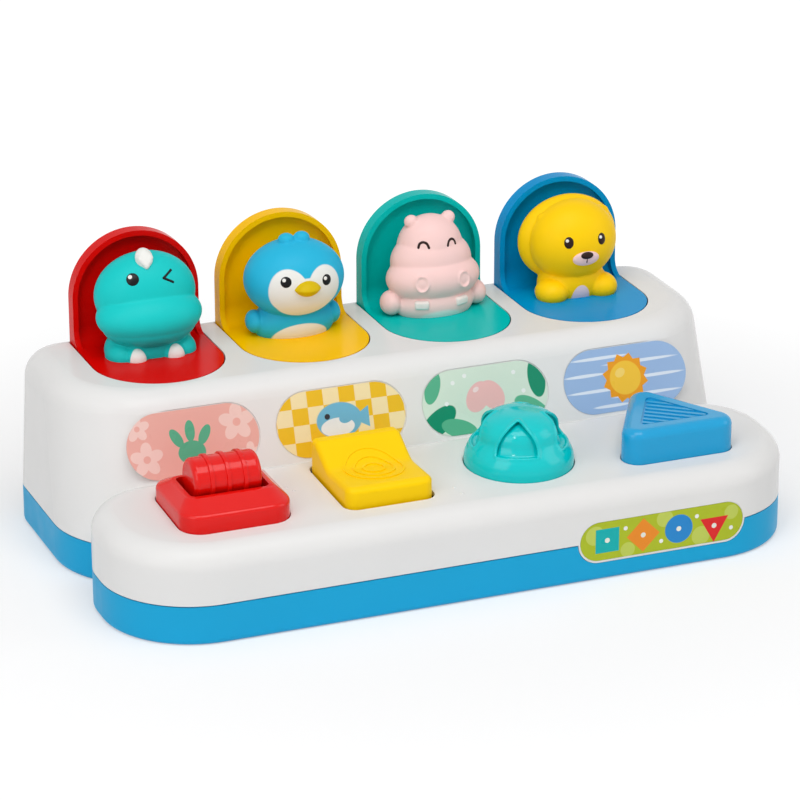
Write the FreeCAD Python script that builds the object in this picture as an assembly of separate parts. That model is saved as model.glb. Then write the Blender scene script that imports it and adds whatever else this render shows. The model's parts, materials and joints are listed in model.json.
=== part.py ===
import FreeCAD, Part
import math
import os

# Pop up animal toy. A white shell with a low front deck and a raised rear housing closes
# a blue tray. Four controls on the deck press four release arms, and each arm lets go
# of one spring-loaded lid with an animal on it. The toy is drawn with its lids open.
# Millimetres. X runs along the length, -Y is the front, +Z is up, and Z 0 is the table.

V = FreeCAD.Vector

# ---------------------------------------------------------------- driving dimensions
LENGTH = 322.0
DEPTH = 176.0
TRAY_HEIGHT = 18.0
TOP_HEIGHT = 83.0
SEAM_GAP = 0.5
WALL = 2.4
FLOOR = 2.5
TRAY_EDGE_R = 2.5
PITCH = 70.0                  # from one lid or control to the next

HOUSING_FOOT_Y = -22.2        # foot of the sloped face, at the seam
FACE_TILT = 18.0              # degrees from upright
END_DRAFT = 2.7
REAR_DRAFT = 1.8
HOUSING_R_FRONT = 45.0
HOUSING_R_REAR = 19.0
TOP_EDGE_R = 12.0

DECK_HEIGHT = 45.1            # at the line of the controls
DECK_SLOPE = 2.08
DECK_BACK_Y = -7.1
DECK_R_FRONT = 42.0
DECK_R_REAR = 31.0
DECK_EDGE_R = 10.0
CONTROL_Y = -46.4

LIP_DEPTH = 4.0               # how far the shell's lip reaches into the tray
LIP_WALL = 1.45
LIP_SHOULDER = 1.5
FIT_GAP = 0.25                # between parts that are put together and stay still
TURN_GAP = 0.06               # between a pin and what turns on it
LID_GAP = 0.6                 # around a lid
SLIDE_GAP = 0.3               # between a moving piece and its guide
CAM_GAP = 0.1                 # between a cam and what it presses

HINGE_Y = 68.65
HINGE_DROP = 7.15             # hinge line below the top face, and the barrel's radius
LID_HALF = 30.0
LID_REACH = 58.85
LID_PLATE = 2.5
LID_RIM = 2.5
LID_RIM_DEPTH = 6.7
LID_FILLET = 8.0
BARREL_WEB = 3.0
BARREL_BITE = 0.6             # the barrel's rooms run this far into its plates
SPRING_ROOM = 6.0
PIN_R = 1.5
EAR_GAP = 1.6                 # between the lid's barrel and the ears of the shell
EAR_HALF = 6.0
EAR_BITE = 2.6                # how far the pin reaches into an ear
LID_SPRING_R = 3.6
LID_SPRING_WIRE = 0.5
LID_SPRING_TURNS = 8

ARM_TRAVEL = 4.0
ARM_BAR_Z = 9.0
ARM_PLATE = 3.0
ARM_HALF = 4.0
ARM_HEAD_Z = 20.0
ARM_HEAD_HALF = 8.0
ARM_HEAD_FRONT = -61.0
ARM_RISER_Y = -34.0
CATCH_T = 2.0
CATCH_BITE = 2.7              # overlap of the catch and a closed seat
GUIDE_T = 2.0
GUIDE_ROWS = (-20.0, 30.0)
GUIDE_HALF = 3.0
GUIDE_HOOK = 1.0
GUIDE_HOOK_T = 1.5
ARM_SPRING_R = 3.6
ARM_SPRING_WIRE = 0.45
ARM_SPRING_TURNS = 4
ARM_SPRING_Y = -47.0
COIL_POINTS = 8               # points that a spring's line passes in each turn
POST_TOP = 10.0
POST_NUB = 1.5

STICKER_LENGTH = 61.5
STICKER_WIDTH = 29.7
STICKER_T = 0.3
STICKER_RECESS = 0.5
STICKER_MARGIN = 0.6

LABEL_END_IN = 74.0           # from the toy's end to the middle of the label
LABEL_Z = 18.7
LABEL_LENGTH = 80.5
LABEL_WIDTH = 18.6
LABEL_T = 0.25
LABEL_RECESS = 0.3
TAB_MARGIN = 0.8
TAB_WALL = 3.0

BEZEL_LENGTH = 50.4
BEZEL_WIDTH = 48.6
BEZEL_R = 10.0
BEZEL_WALL_Z = 52.0
BEZEL_TOP_Z = 56.7
BEZEL_RIM = 2.0
BEZEL_EDGE_R = 2.4
WELL_LENGTH = 36.0
WELL_WIDTH = 23.6
WELL_R = 3.0
DRUM_R = 10.0
DRUM_LENGTH = 31.0
DRUM_Z = 59.5
DRUM_WALL = 2.0
DRUM_END_R = 2.5
DRUM_RIB = 0.8
DRUM_RIB_WIDTH = 2.0
DRUM_RIB_ROWS = (-7.6, 0.0, 7.6)
DRUM_TURN = 45.0
DRUM_HUB_R = 2.8
DRUM_WEB_X = (4.0, 6.0)       # two webs, one each side of the middle
DRUM_POST_X = 8.5
DRUM_POST_HALF = 1.5
DRUM_POST_DEPTH = 2.6
DRUM_POST_SPREAD = 22.0       # degrees of slot past each side of a post
PUSHER_SLOT = (285.0, 369.0)  # start and end of the middle slot, in degrees
DRUM_HUB_WALL = 1.5           # left at each end of the axle's bore
BRIDGE_Z = 44.5
CAM_R = 4.7
CAM_HALF = 2.6
PUSHER_HALF = 2.0
PUSHER_DEEP = 1.4

KEY_LENGTH = 40.7
KEY_SIDE_GAP = 1.2
KEY_FRONT_Y = -69.5
KEY_REAR_Y = -20.5
KEY_FRONT_Z = 52.4
KEY_DISH_Y = -43.0
KEY_DISH_Z = 52.6
KEY_CREST_Y = -28.5
KEY_CREST_Z = 60.8
KEY_BOTTOM_Z = 38.5
KEY_CORNER_R = 5.0
KEY_DISH_R = 12.0
KEY_LIP = 3.6
KEY_FRONT_LEAN = 0.4
KEY_BACK_DROP = 3.0
KEY_EDGE_R = 2.6
KEY_WALL = 2.2
KEY_PIN_Y = -24.5
KEY_PIN_Z = 37.0
KEY_TILT = 7.0
KEY_EAR = 3.0
KEY_EAR_HALF = 4.0
KEY_FOOT_R = 2.5
KEY_RIPPLES = (4.2, 8.4, 12.6)
KEY_RIPPLE_WIDTH = 1.1
KEY_RIPPLE_RISE = 0.5
KEY_RIPPLE_Y = -48.0

KNOB_R = 24.75
KNOB_WALL = 2.2
KNOB_TOP_Z = 69.7
KNOB_BELL = ((24.75, 47.5), (24.3, 50.0), (23.1, 52.6), (20.9, 55.6), (19.6, 57.8), (19.1, 60.2),
             (18.0, 63.0), (15.2, 66.2), (10.2, 68.6), (5.0, 69.5), (0.0, KNOB_TOP_Z))
KNOB_ARCH_Z = 54.0            # foot of the four arches that are sunk into the dome
KNOB_ARCH_HALF = 9.7
KNOB_ARCH_RISE = 14.6
KNOB_ARCH_SUNK = 2.3
KNOB_FACE_TURN = -26.0        # where the first arch faces, in degrees from the front
KNOB_BOSS_R = 4.5
KNOB_TURN = 45.0
SLEEVE_R = 13.0
SLEEVE_BORE = 10.0
SWASH_Z = 30.0
CAM_DISC_Z = 42.0
CAM_DISC_T = 2.0
FOLLOWER_R = 1.2
COLLAR_Z = 34.0
COLLAR_T = 2.5
COLLAR_STEP_R = 22.8
COLLAR_RIM = 1.6
KNOB_FOOT_Z = 39.5
KNOB_SPRING_R = 17.5
KNOB_SPRING_WIRE = 0.6

BUTTON_HALF = 26.6
BUTTON_FRONT_Y = -70.3
BUTTON_APEX_Y = -22.0
BUTTON_R = 7.3
BUTTON_EDGE_R = 4.2
BUTTON_TOP_Z = 60.0
BUTTON_WALL = 2.2
BUTTON_STEM_R = 3.5
BUTTON_STEM_Y = -54.4
PANEL_MARGIN = 8.0
PANEL_DEPTH = 1.0
PANEL_R = 2.0
PANEL_EDGE = 0.8              # free of ridges, inside the panel
PANEL_RIDGE_RISE = 0.8
PANEL_RIDGES = 7
PANEL_RIDGE_STEP = 4.2
PANEL_RIDGE_WIDTH = 1.7
PANEL_RIDGE_TURN = -38.0

HOLE_GAP = 0.4                # between a control and its hole in the deck
FLANGE_OUT = 1.7
FLANGE_T = 2.0
FLANGE_DROP = 0.5             # from the deck's underside to a moving flange
FIXING_REACH = 32.0
FIXING_Z = 36.0
FIXING_T = 2.0
FIXING_R = 3.2
FIXING_BITE = 5.0

SCREW_R = 1.4
SCREW_HEAD_R = 2.6
SCREW_HEAD_T = 2.2
SCREW_ROOM = 0.3
THREAD_GAP = 0.02
BOSS_R = 4.2
BOSS_SEAT_Z = 14.5            # where the bosses of the tray and the shell meet
BOSS_WEB = 4.0
BOSS_BITE = 9.0
DECK_BOSS_END_IN = 16.0       # from the toy's ends to the outer bosses
HOUSING_BOSS_END_IN = 14.0
DECK_BOSS_X = (-68.0, 69.0)
DECK_BOSS_Y = -45.0
HOUSING_BOSS_Y = (50.0, 45.0)  # outer and inner bosses
FIGURE_SCREW_Y = 50.65
FIGURE_BITE = 9.0

# ---------------------------------------------------------------- worked out from them
SEAM_Z = TRAY_HEIGHT + SEAM_GAP
HINGE_Z = TOP_HEIGHT - HINGE_DROP
LANES = [PITCH * (lane - 1.5) for lane in range(4)]
RED, YELLOW, TEAL, BLUE = LANES
EAR_X = LID_HALF + EAR_GAP
EAR_T = PITCH / 2 - EAR_X
SEAT_BACK = HINGE_DROP - LID_PLATE
ARM_HEAD_TOP = ARM_HEAD_Z + ARM_PLATE
BAR_TOP = ARM_BAR_Z + ARM_PLATE
SEAT_TIP_Z = HINGE_Z - LID_REACH
CATCH_Y = HINGE_Y - HINGE_DROP - SLIDE_GAP
LABEL_X = LENGTH / 2 - LABEL_END_IN
DECK_END_X = LENGTH / 2 - DECK_BOSS_END_IN
HOUSING_END_X = LENGTH / 2 - HOUSING_BOSS_END_IN
DECK_BOSSES = [(x, DECK_BOSS_Y) for x in (-DECK_END_X, *DECK_BOSS_X, DECK_END_X)]
HOUSING_BOSSES = [(x, HOUSING_BOSS_Y[0]) for x in (-HOUSING_END_X, HOUSING_END_X)]
HOUSING_BOSSES += [(x, HOUSING_BOSS_Y[1]) for x in (-PITCH, PITCH)]
BOSSES = DECK_BOSSES + HOUSING_BOSSES
LOW, HIGH = -DEPTH, DEPTH     # past the toy on every side


def tan_deg(angle):
    return math.tan(math.radians(angle))


def sin_deg(angle):
    return math.sin(math.radians(angle))


def cos_deg(angle):
    return math.cos(math.radians(angle))


def deck_z(y):
    """Height of the deck's top face."""
    return DECK_HEIGHT + (y - CONTROL_Y) * tan_deg(DECK_SLOPE)


def crease():
    """Where the sloped face meets the deck, in the YZ plane."""
    rise = deck_z(HOUSING_FOOT_Y) - SEAM_Z
    rise = rise / (1 - tan_deg(FACE_TILT) * tan_deg(DECK_SLOPE))
    return HOUSING_FOOT_Y + rise * tan_deg(FACE_TILT), SEAM_Z + rise


# ---------------------------------------------------------------- shapes used often
def box(x0, x1, y0, y1, z0, z1):
    return Part.makeBox(x1 - x0, y1 - y0, z1 - z0, V(x0, y0, z0))


def rod_x(x0, x1, y, z, radius):
    return Part.makeCylinder(radius, x1 - x0, V(x0, y, z), V(1, 0, 0))


def rod_z(x, y, z0, z1, radius):
    return Part.makeCylinder(radius, z1 - z0, V(x, y, z0))


def tube_z(x, y, z0, z1, radius, bore):
    return rod_z(x, y, z0, z1, radius).cut(rod_z(x, y, z0 - 1, z1 + 1, bore))


def prism_x(points, x0, x1):
    """Block along X with a straight-sided profile of (y, z) points."""
    corners = [V(x0, y, z) for y, z in points]
    return Part.Face(Part.makePolygon(corners + corners[:1])).extrude(V(x1 - x0, 0, 0))


def rectangle(x0, x1, y0, y1):
    return ((x0, y0), (x1, y0), (x1, y1), (x0, y1))


def outline(corners, radii, z):
    """Closed level wire with straight sides, each corner rounded by its own radius."""
    points = [V(x, y, z) for x, y in corners]
    count = len(points)
    starts, ends, edges = [], [], []
    for index, here in enumerate(points):
        to_last = (points[index - 1] - here).normalize()
        to_next = (points[(index + 1) % count] - here).normalize()
        radius = radii[index]
        half = to_last.getAngle(to_next) / 2
        starts.append(here + to_last * (radius / math.tan(half)))
        ends.append(here + to_next * (radius / math.tan(half)))
        if radius:
            middle = here + (to_last + to_next).normalize() * (radius / math.sin(half) - radius)
            edges.append(Part.Arc(starts[-1], middle, ends[-1]).toShape())
    for index in range(count):
        start, end = ends[index], starts[(index + 1) % count]
        if (end - start).Length > 0.000001:
            edges.append(Part.LineSegment(start, end).toShape())
    return Part.Wire(Part.__sortEdges__(edges))


def round_outline(centres, radius, z):
    """Closed level wire around equal circles, whose centres are given anticlockwise."""
    count = len(centres)
    points = [V(x, y, z) for x, y in centres]
    outward = []
    for index, here in enumerate(points):
        side = points[(index + 1) % count] - here
        outward.append(V(side.y, -side.x, 0).normalize() * radius)
    edges = []
    for index, here in enumerate(points):
        before, after = outward[index - 1], outward[index]
        middle = (before + after).normalize() * radius
        edges.append(Part.Arc(here + before, here + middle, here + after).toShape())
        edges.append(Part.LineSegment(here + after, points[(index + 1) % count] + after).toShape())
    return Part.Wire(edges)


def slab(wire, height):
    return Part.Face(wire).extrude(V(0, 0, height))


def pill(length, width, z0, z1):
    """Stadium about the origin, between two heights."""
    corners = rectangle(-length / 2, length / 2, -width / 2, width / 2)
    return slab(outline(corners, (width / 2,) * 4, z0), z1 - z0)


def fuse_all(shapes):
    return shapes[0].fuse(shapes[1:])


def edges_where(shape, test):
    """Edges whose middle point passes a test."""
    found = []
    for edge in shape.Edges:
        if test(edge.valueAt((edge.FirstParameter + edge.LastParameter) / 2)):
            found.append(edge)
    return found


def ellipsoid(centre, radii):
    x, y, z = centre
    rx, ry, rz = radii
    stretch = FreeCAD.Matrix(rx, 0, 0, x, 0, ry, 0, y, 0, 0, rz, z, 0, 0, 0, 1)
    return Part.makeSphere(1.0).transformGeometry(stretch)


def coil(radius, wire_radius, pitch, height):
    """Spring about Z that fills a height from Z 0 upwards."""
    rise = height - 2 * wire_radius
    count = round(rise / pitch * COIL_POINTS)
    points = []
    for index in range(count + 1):
        share = index / count
        angle = math.tau * rise / pitch * share
        points.append(V(radius * math.cos(angle), radius * math.sin(angle), wire_radius + rise * share))
    line = Part.BSplineCurve()
    line.interpolate(points)
    along = line.tangent(line.FirstParameter)[0]
    section = Part.Wire(Part.makeCircle(wire_radius, points[0], along))
    return Part.Wire([line.toShape()]).makePipeShell([section], True, False)


def screw(x, y, seat_z, bite):
    """Screw that points up, with its head under a seat."""
    head = rod_z(x, y, seat_z - SCREW_HEAD_T, seat_z, SCREW_HEAD_R)
    return head.fuse(rod_z(x, y, seat_z, seat_z + bite, SCREW_R)).removeSplitter()


# ---------------------------------------------------------------- plan of the two lobes
def housing_plan(inset, z):
    rise = max(z - SEAM_Z, 0.0)
    half = LENGTH / 2 - inset - rise * tan_deg(END_DRAFT)
    front = HOUSING_FOOT_Y + inset / cos_deg(FACE_TILT) + rise * tan_deg(FACE_TILT)
    rear = DEPTH / 2 - inset - rise * tan_deg(REAR_DRAFT)
    radii = (HOUSING_R_FRONT - inset,) * 2 + (HOUSING_R_REAR - inset,) * 2
    return outline(rectangle(-half, half, front, rear), radii, z)


def deck_plan(inset, z):
    half = LENGTH / 2 - inset
    corners = rectangle(-half, half, inset - DEPTH / 2, DECK_BACK_Y - inset)
    radii = (DECK_R_FRONT - inset,) * 2 + (DECK_R_REAR - inset,) * 2
    return outline(corners, radii, z)


def under_deck(inset):
    """Everything below the deck's top face, or below a face a little under it."""
    profile = ((LOW, 0), (HIGH, 0), (HIGH, deck_z(HIGH) - inset), (LOW, deck_z(LOW) - inset))
    return prism_x(profile, -LENGTH, LENGTH)


def housing_volume(inset):
    """Raised rear lobe, drawn in by an even wall."""
    top = TOP_HEIGHT - inset
    lobe = Part.makeLoft([housing_plan(inset, SEAM_Z), housing_plan(inset, top)], True, True)
    rim = edges_where(lobe, lambda middle: abs(middle.z - top) < 0.01)
    return lobe.makeFillet(TOP_EDGE_R - inset, rim)


def deck_volume(inset):
    """Low front lobe under the sloping deck, drawn in by an even wall."""
    lobe = slab(deck_plan(inset, SEAM_Z), DECK_HEIGHT).common(under_deck(inset))
    rim = edges_where(lobe, lambda middle: abs(middle.z - deck_z(middle.y) + inset) < 0.1)
    return lobe.makeFillet(DECK_EDGE_R - inset, rim)


def plan_prism(inset, z0, z1):
    """Both lobes below the seam as one upright block, drawn in by an even wall."""
    housing = slab(housing_plan(inset, 0), z1 - z0)
    both = housing.fuse(slab(deck_plan(inset, 0), z1 - z0))
    both.translate(V(0, 0, z0))
    return both


def plan_ring(outer, inner, z0, z1):
    return plan_prism(outer, z0, z1).cut(plan_prism(inner, z0 - 1, z1 + 1))


def label_band(outer, inner, margin):
    """Piece of the front wall in the shape of the label."""
    front = pill(LABEL_LENGTH + 2 * margin, LABEL_WIDTH + 2 * margin, 0, DECK_R_FRONT)
    front.rotate(V(0, 0, 0), V(1, 0, 0), 90)
    front.translate(V(LABEL_X, DECK_R_FRONT - 1 - DEPTH / 2, LABEL_Z))
    wall = slab(deck_plan(outer, 0), 2 * SEAM_Z).cut(slab(deck_plan(inner, 0), 2 * SEAM_Z))
    return wall.common(front)


def on_face(shape, x):
    """Lays a shape, drawn about the origin, on the sloped face as a sticker lies."""
    y, z = crease()
    up = STICKER_WIDTH / 2 + STICKER_MARGIN
    spot = V(x, y + up * sin_deg(FACE_TILT), z + up * cos_deg(FACE_TILT))
    shape.Placement = FreeCAD.Placement(spot, FreeCAD.Rotation(V(1, 0, 0), 90 - FACE_TILT))
    return shape


# ---------------------------------------------------------------- outlines of the controls
def bezel_outline(margin, z):
    half = BEZEL_LENGTH / 2 + margin
    deep = BEZEL_WIDTH / 2 + margin
    corners = rectangle(RED - half, RED + half, CONTROL_Y - deep, CONTROL_Y + deep)
    return outline(corners, (BEZEL_R + margin,) * 4, z)


def well_outline(margin, z):
    half = WELL_LENGTH / 2 + margin
    deep = WELL_WIDTH / 2 + margin
    corners = rectangle(RED - half, RED + half, CONTROL_Y - deep, CONTROL_Y + deep)
    return outline(corners, (WELL_R + margin,) * 4, z)


def key_outline(side, ends, z):
    half = KEY_LENGTH / 2 + side
    corners = rectangle(YELLOW - half, YELLOW + half, KEY_FRONT_Y - ends, KEY_REAR_Y + ends)
    return outline(corners, (KEY_CORNER_R + min(side, ends),) * 4, z)


def button_outline(margin, z):
    centres = ((BLUE - BUTTON_HALF + BUTTON_R, BUTTON_FRONT_Y + BUTTON_R),
               (BLUE + BUTTON_HALF - BUTTON_R, BUTTON_FRONT_Y + BUTTON_R),
               (BLUE, BUTTON_APEX_Y - BUTTON_R))
    return round_outline(centres, BUTTON_R + margin, z)


def inner_triangle(margin, radius, z):
    """The button's triangle with every side moved in, and rounded by its own radius."""
    shift = (margin + radius - BUTTON_R) * 2
    lean = math.atan2(BUTTON_APEX_Y - BUTTON_FRONT_Y - 2 * BUTTON_R, BUTTON_HALF - BUTTON_R)
    step = shift / 2 / math.tan(lean / 2)
    centres = ((BLUE - BUTTON_HALF + BUTTON_R + step, BUTTON_FRONT_Y + BUTTON_R + shift / 2),
               (BLUE + BUTTON_HALF - BUTTON_R - step, BUTTON_FRONT_Y + BUTTON_R + shift / 2),
               (BLUE, BUTTON_APEX_Y - BUTTON_R - shift / 2 / math.cos(lean)))
    return round_outline(centres, radius, z)


# ---------------------------------------------------------------- casings
def lid_opening(x):
    half = LID_HALF + LID_GAP
    front = HINGE_Y - LID_REACH - LID_GAP
    rear = HINGE_Y + HINGE_DROP + LID_GAP
    radii = (half, half, 0, 0)
    return slab(outline(rectangle(x - half, x + half, front, rear), radii, HINGE_Z), DEPTH)


def control_openings():
    below = FIXING_Z
    wires = [bezel_outline(HOLE_GAP, below), key_outline(KEY_SIDE_GAP, KEY_SIDE_GAP, below),
             button_outline(HOLE_GAP, below)]
    holes = [slab(wire, DECK_HEIGHT) for wire in wires]
    holes.append(rod_z(TEAL, CONTROL_Y, below, 2 * DECK_HEIGHT, KNOB_R + HOLE_GAP))
    return holes


def fixing_places():
    """Screws that hold the bezel and the knob's collar under the deck."""
    return [(x, CONTROL_Y + side * FIXING_REACH) for x in (RED, TEAL) for side in (-1, 1)]


def hinge_ears(x):
    """Two ears for one lid, each with a seat that the pin snaps into from below."""
    bottom = HINGE_Z - EAR_HALF
    ears = []
    for side in (-1, 1):
        x0 = x + min(side * EAR_X, side * (EAR_X + EAR_T))
        ears.append(box(x0, x0 + EAR_T, HINGE_Y - EAR_HALF, HINGE_Y + EAR_HALF, bottom, TOP_HEIGHT))
    return ears


def pin_room(x):
    half = EAR_X + EAR_BITE + FIT_GAP
    bore = rod_x(x - half, x + half, HINGE_Y, HINGE_Z, PIN_R + THREAD_GAP)
    throat = PIN_R - FIT_GAP
    bottom = HINGE_Z - EAR_HALF - 1
    return [bore, box(x - half, x + half, HINGE_Y - throat, HINGE_Y + throat, bottom, HINGE_Z)]


def key_ears():
    inner = KEY_LENGTH / 2 + KEY_SIDE_GAP + SLIDE_GAP
    ears = []
    for side in (-1, 1):
        x0 = YELLOW + min(side * inner, side * (inner + KEY_EAR))
        ears.append(box(x0, x0 + KEY_EAR, KEY_PIN_Y - KEY_EAR_HALF, KEY_PIN_Y + KEY_EAR_HALF,
                        KEY_PIN_Z - KEY_EAR_HALF, DECK_HEIGHT))
    return ears


def key_pin_half():
    return KEY_LENGTH / 2 + KEY_SIDE_GAP + SLIDE_GAP + KEY_EAR - 0.5


def top_shell():
    outer = housing_volume(0).fuse(deck_volume(0))
    shell = outer.cut(housing_volume(WALL).fuse(deck_volume(WALL)))
    lip_outer = WALL + FIT_GAP
    lip_inner = lip_outer + LIP_WALL
    added = [plan_ring(lip_outer, lip_inner, SEAM_Z - LIP_DEPTH, SEAM_Z + LIP_SHOULDER),
             plan_ring(WALL - LIP_WALL, lip_inner, SEAM_Z, SEAM_Z + LIP_SHOULDER),
             label_band(0, TAB_WALL, TAB_MARGIN)]
    for x, y in BOSSES:
        added.append(rod_z(x, y, BOSS_SEAT_Z, SEAM_Z, BOSS_R))
        added.append(rod_z(x, y, SEAM_Z, TOP_HEIGHT, BOSS_R).common(outer))
    for x, y in fixing_places():
        added.append(rod_z(x, y, FIXING_Z + FIXING_T, TOP_HEIGHT, FIXING_R).common(outer)
                     .common(under_deck(WALL / 2)))
    for x in LANES:
        added += [ear.common(outer) for ear in hinge_ears(x)]
    added += [ear.common(outer) for ear in key_ears()]
    shell = shell.fuse(added)
    cuts = control_openings()
    for x in LANES:
        cuts.append(lid_opening(x))
        cuts += pin_room(x)
        recess = pill(STICKER_LENGTH + 2 * STICKER_MARGIN, STICKER_WIDTH + 2 * STICKER_MARGIN,
                      -STICKER_RECESS, 1.0)
        cuts.append(on_face(recess, x))
    for x, y in BOSSES:
        cuts.append(rod_z(x, y, BOSS_SEAT_Z - 1, BOSS_SEAT_Z + BOSS_BITE + 1, SCREW_R + THREAD_GAP))
    for x, y in fixing_places():
        top = FIXING_Z + FIXING_T + FIXING_BITE - 1
        cuts.append(rod_z(x, y, FIXING_Z, top, SCREW_R + THREAD_GAP))
    cuts.append(label_band(-1, LABEL_RECESS, 0))
    half = key_pin_half() + FIT_GAP
    cuts.append(rod_x(YELLOW - half, YELLOW + half, KEY_PIN_Y, KEY_PIN_Z, PIN_R + THREAD_GAP))
    return shell.cut(cuts)


def arm_guides(x):
    """Two pairs of hooked guides for one release arm, and the post of its spring."""
    pieces = []
    inner = ARM_HALF + SLIDE_GAP
    for y in GUIDE_ROWS:
        for side in (-1, 1):
            x0 = x + min(side * inner, side * (inner + GUIDE_T))
            top = BAR_TOP + GUIDE_HOOK_T
            pieces.append(box(x0, x0 + GUIDE_T, y - GUIDE_HALF, y + GUIDE_HALF, 0, top))
            hook = x + min(side * (inner + GUIDE_T), side * (ARM_HALF - GUIDE_HOOK))
            width = GUIDE_T + SLIDE_GAP + GUIDE_HOOK
            pieces.append(box(hook, hook + width, y - GUIDE_HALF, y + GUIDE_HALF, BAR_TOP, top))
    pieces.append(rod_z(x, ARM_SPRING_Y, 0, POST_TOP, ARM_SPRING_R + 2 * ARM_SPRING_WIRE))
    nub = ARM_SPRING_R - 2 * ARM_SPRING_WIRE
    pieces.append(rod_z(x, ARM_SPRING_Y, 0, POST_TOP + POST_NUB, nub))
    return pieces


def base_tray():
    lobes = []
    for wire in (housing_plan(0, 0), deck_plan(0, 0)):
        lobe = slab(wire, TRAY_HEIGHT)
        lobes.append(lobe.makeFillet(TRAY_EDGE_R, edges_where(lobe, lambda middle: middle.z < 0.01)))
    tray = lobes[0].fuse(lobes[1]).cut(plan_prism(WALL, FLOOR, TRAY_HEIGHT + 1))
    inside = plan_prism(WALL / 2, FLOOR / 2, BOSS_SEAT_Z)
    added = []
    for x in LANES:
        added += arm_guides(x)
    for x, y in BOSSES:
        added.append(rod_z(x, y, 0, BOSS_SEAT_Z, BOSS_R))
    tray = tray.fuse([piece.common(inside) for piece in added])
    cuts = [label_band(-1, TAB_WALL + FIT_GAP, TAB_MARGIN + FIT_GAP)]
    for x, y in BOSSES:
        cuts.append(rod_z(x, y, -1, BOSS_SEAT_Z - BOSS_WEB, SCREW_HEAD_R + SCREW_ROOM))
        cuts.append(rod_z(x, y, -1, TRAY_HEIGHT, SCREW_R + SCREW_ROOM))
    return tray.cut(cuts)


def case_screws():
    seat = BOSS_SEAT_Z - BOSS_WEB
    return Part.makeCompound([screw(x, y, seat, BOSS_WEB + BOSS_BITE) for x, y in BOSSES])


def deck_screws():
    bite = FIXING_T + FIXING_BITE - 1.5
    return Part.makeCompound([screw(x, y, FIXING_Z, bite) for x, y in fixing_places()])


def sticker(x):
    sheet = pill(STICKER_LENGTH, STICKER_WIDTH, -STICKER_RECESS, STICKER_T - STICKER_RECESS)
    return on_face(sheet, x)


def front_label():
    return label_band(LABEL_RECESS - LABEL_T, LABEL_RECESS, -0.2)


# ---------------------------------------------------------------- lids
def lid_outline(inset, back):
    """D seen from above, about the hinge line, from the back edge to the round tip."""
    half = LID_HALF - inset
    tip = inset - LID_REACH
    return outline(rectangle(-half, half, tip, back), (half, half, 0, 0), 0)


def lid_corner(front, x0, x1):
    """Concave filling between an upright face and the seat."""
    y0 = front - LID_FILLET
    block = box(x0, x1, y0, front + 1, HINGE_DROP - 1, HINGE_DROP + LID_FILLET)
    return block.cut(rod_x(x0, x1, y0, HINGE_DROP + LID_FILLET, LID_FILLET))


def lid_barrel():
    """Hollow barrel about the hinge line, with webs for the pin and room for its spring."""
    tube = rod_x(-LID_HALF, LID_HALF, 0, 0, HINGE_DROP)
    corner = box(-LID_HALF, LID_HALF, 0, HINGE_DROP, 0, HINGE_DROP)
    solid = tube.fuse(corner)
    rooms = []
    middle = (SPRING_ROOM + BARREL_WEB - LID_HALF, -BARREL_WEB / 2)
    other = (BARREL_WEB / 2, LID_HALF - BARREL_WEB)
    for x0, x1 in ((-LID_HALF - 1, SPRING_ROOM - LID_HALF), middle, other):
        rooms.append(rod_x(x0, x1, 0, 0, SEAT_BACK + BARREL_BITE))
    return solid.cut(rooms)


def lid(x):
    seat = slab(lid_outline(0, 0), LID_PLATE)
    seat.translate(V(0, 0, SEAT_BACK))
    arch = seat.copy()
    rim = slab(lid_outline(0, 0), LID_RIM_DEPTH).cut(slab(lid_outline(LID_RIM, 5), LID_RIM_DEPTH))
    rim.translate(V(0, 0, HINGE_DROP - LID_RIM_DEPTH))
    arch = arch.fuse(rim)
    arch.rotate(V(0, 0, 0), V(1, 0, 0), -90)
    rim_front = HINGE_DROP - LID_RIM_DEPTH
    inside = LID_HALF - LID_RIM
    pieces = [arch, lid_barrel(), lid_corner(SEAT_BACK, -inside, inside),
              lid_corner(rim_front, -LID_HALF, -inside), lid_corner(rim_front, inside, LID_HALF),
              rod_z(0, FIGURE_SCREW_Y - HINGE_Y, 0, HINGE_DROP - 1, BOSS_R)]
    body = seat.fuse(pieces)
    screw_y = FIGURE_SCREW_Y - HINGE_Y
    spring_room = LID_SPRING_R + LID_SPRING_WIRE + SLIDE_GAP
    cuts = [rod_x(-LID_HALF - 1, LID_HALF + 1, 0, 0, PIN_R + TURN_GAP),
            rod_x(-LID_HALF - 1, SPRING_ROOM - LID_HALF, 0, 0, spring_room),
            rod_z(0, screw_y, -1, SCREW_HEAD_T, SCREW_HEAD_R + SCREW_ROOM),
            rod_z(0, screw_y, -1, 2 * HINGE_DROP, SCREW_R + SCREW_ROOM)]
    body = body.cut(cuts).removeSplitter()
    body.translate(V(x, HINGE_Y, HINGE_Z))
    return body


def hinge_pin(x):
    half = EAR_X + EAR_BITE
    return rod_x(x - half, x + half, HINGE_Y, HINGE_Z, PIN_R)


def lid_spring(x):
    """Close-wound torsion spring around the hinge pin, its touching turns as rings."""
    length = SPRING_ROOM + EAR_GAP - SLIDE_GAP
    step = (length - 2 * LID_SPRING_WIRE) / (LID_SPRING_TURNS - 1)
    rings = []
    for turn in range(LID_SPRING_TURNS):
        middle = V(x - EAR_X + LID_SPRING_WIRE + turn * step, HINGE_Y, HINGE_Z)
        rings.append(Part.makeTorus(LID_SPRING_R, LID_SPRING_WIRE, middle, V(1, 0, 0)))
    return fuse_all(rings)


def figure_screw(x):
    return screw(x, FIGURE_SCREW_Y, HINGE_Z + SCREW_HEAD_T, HINGE_DROP - SCREW_HEAD_T + FIGURE_BITE)


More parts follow.
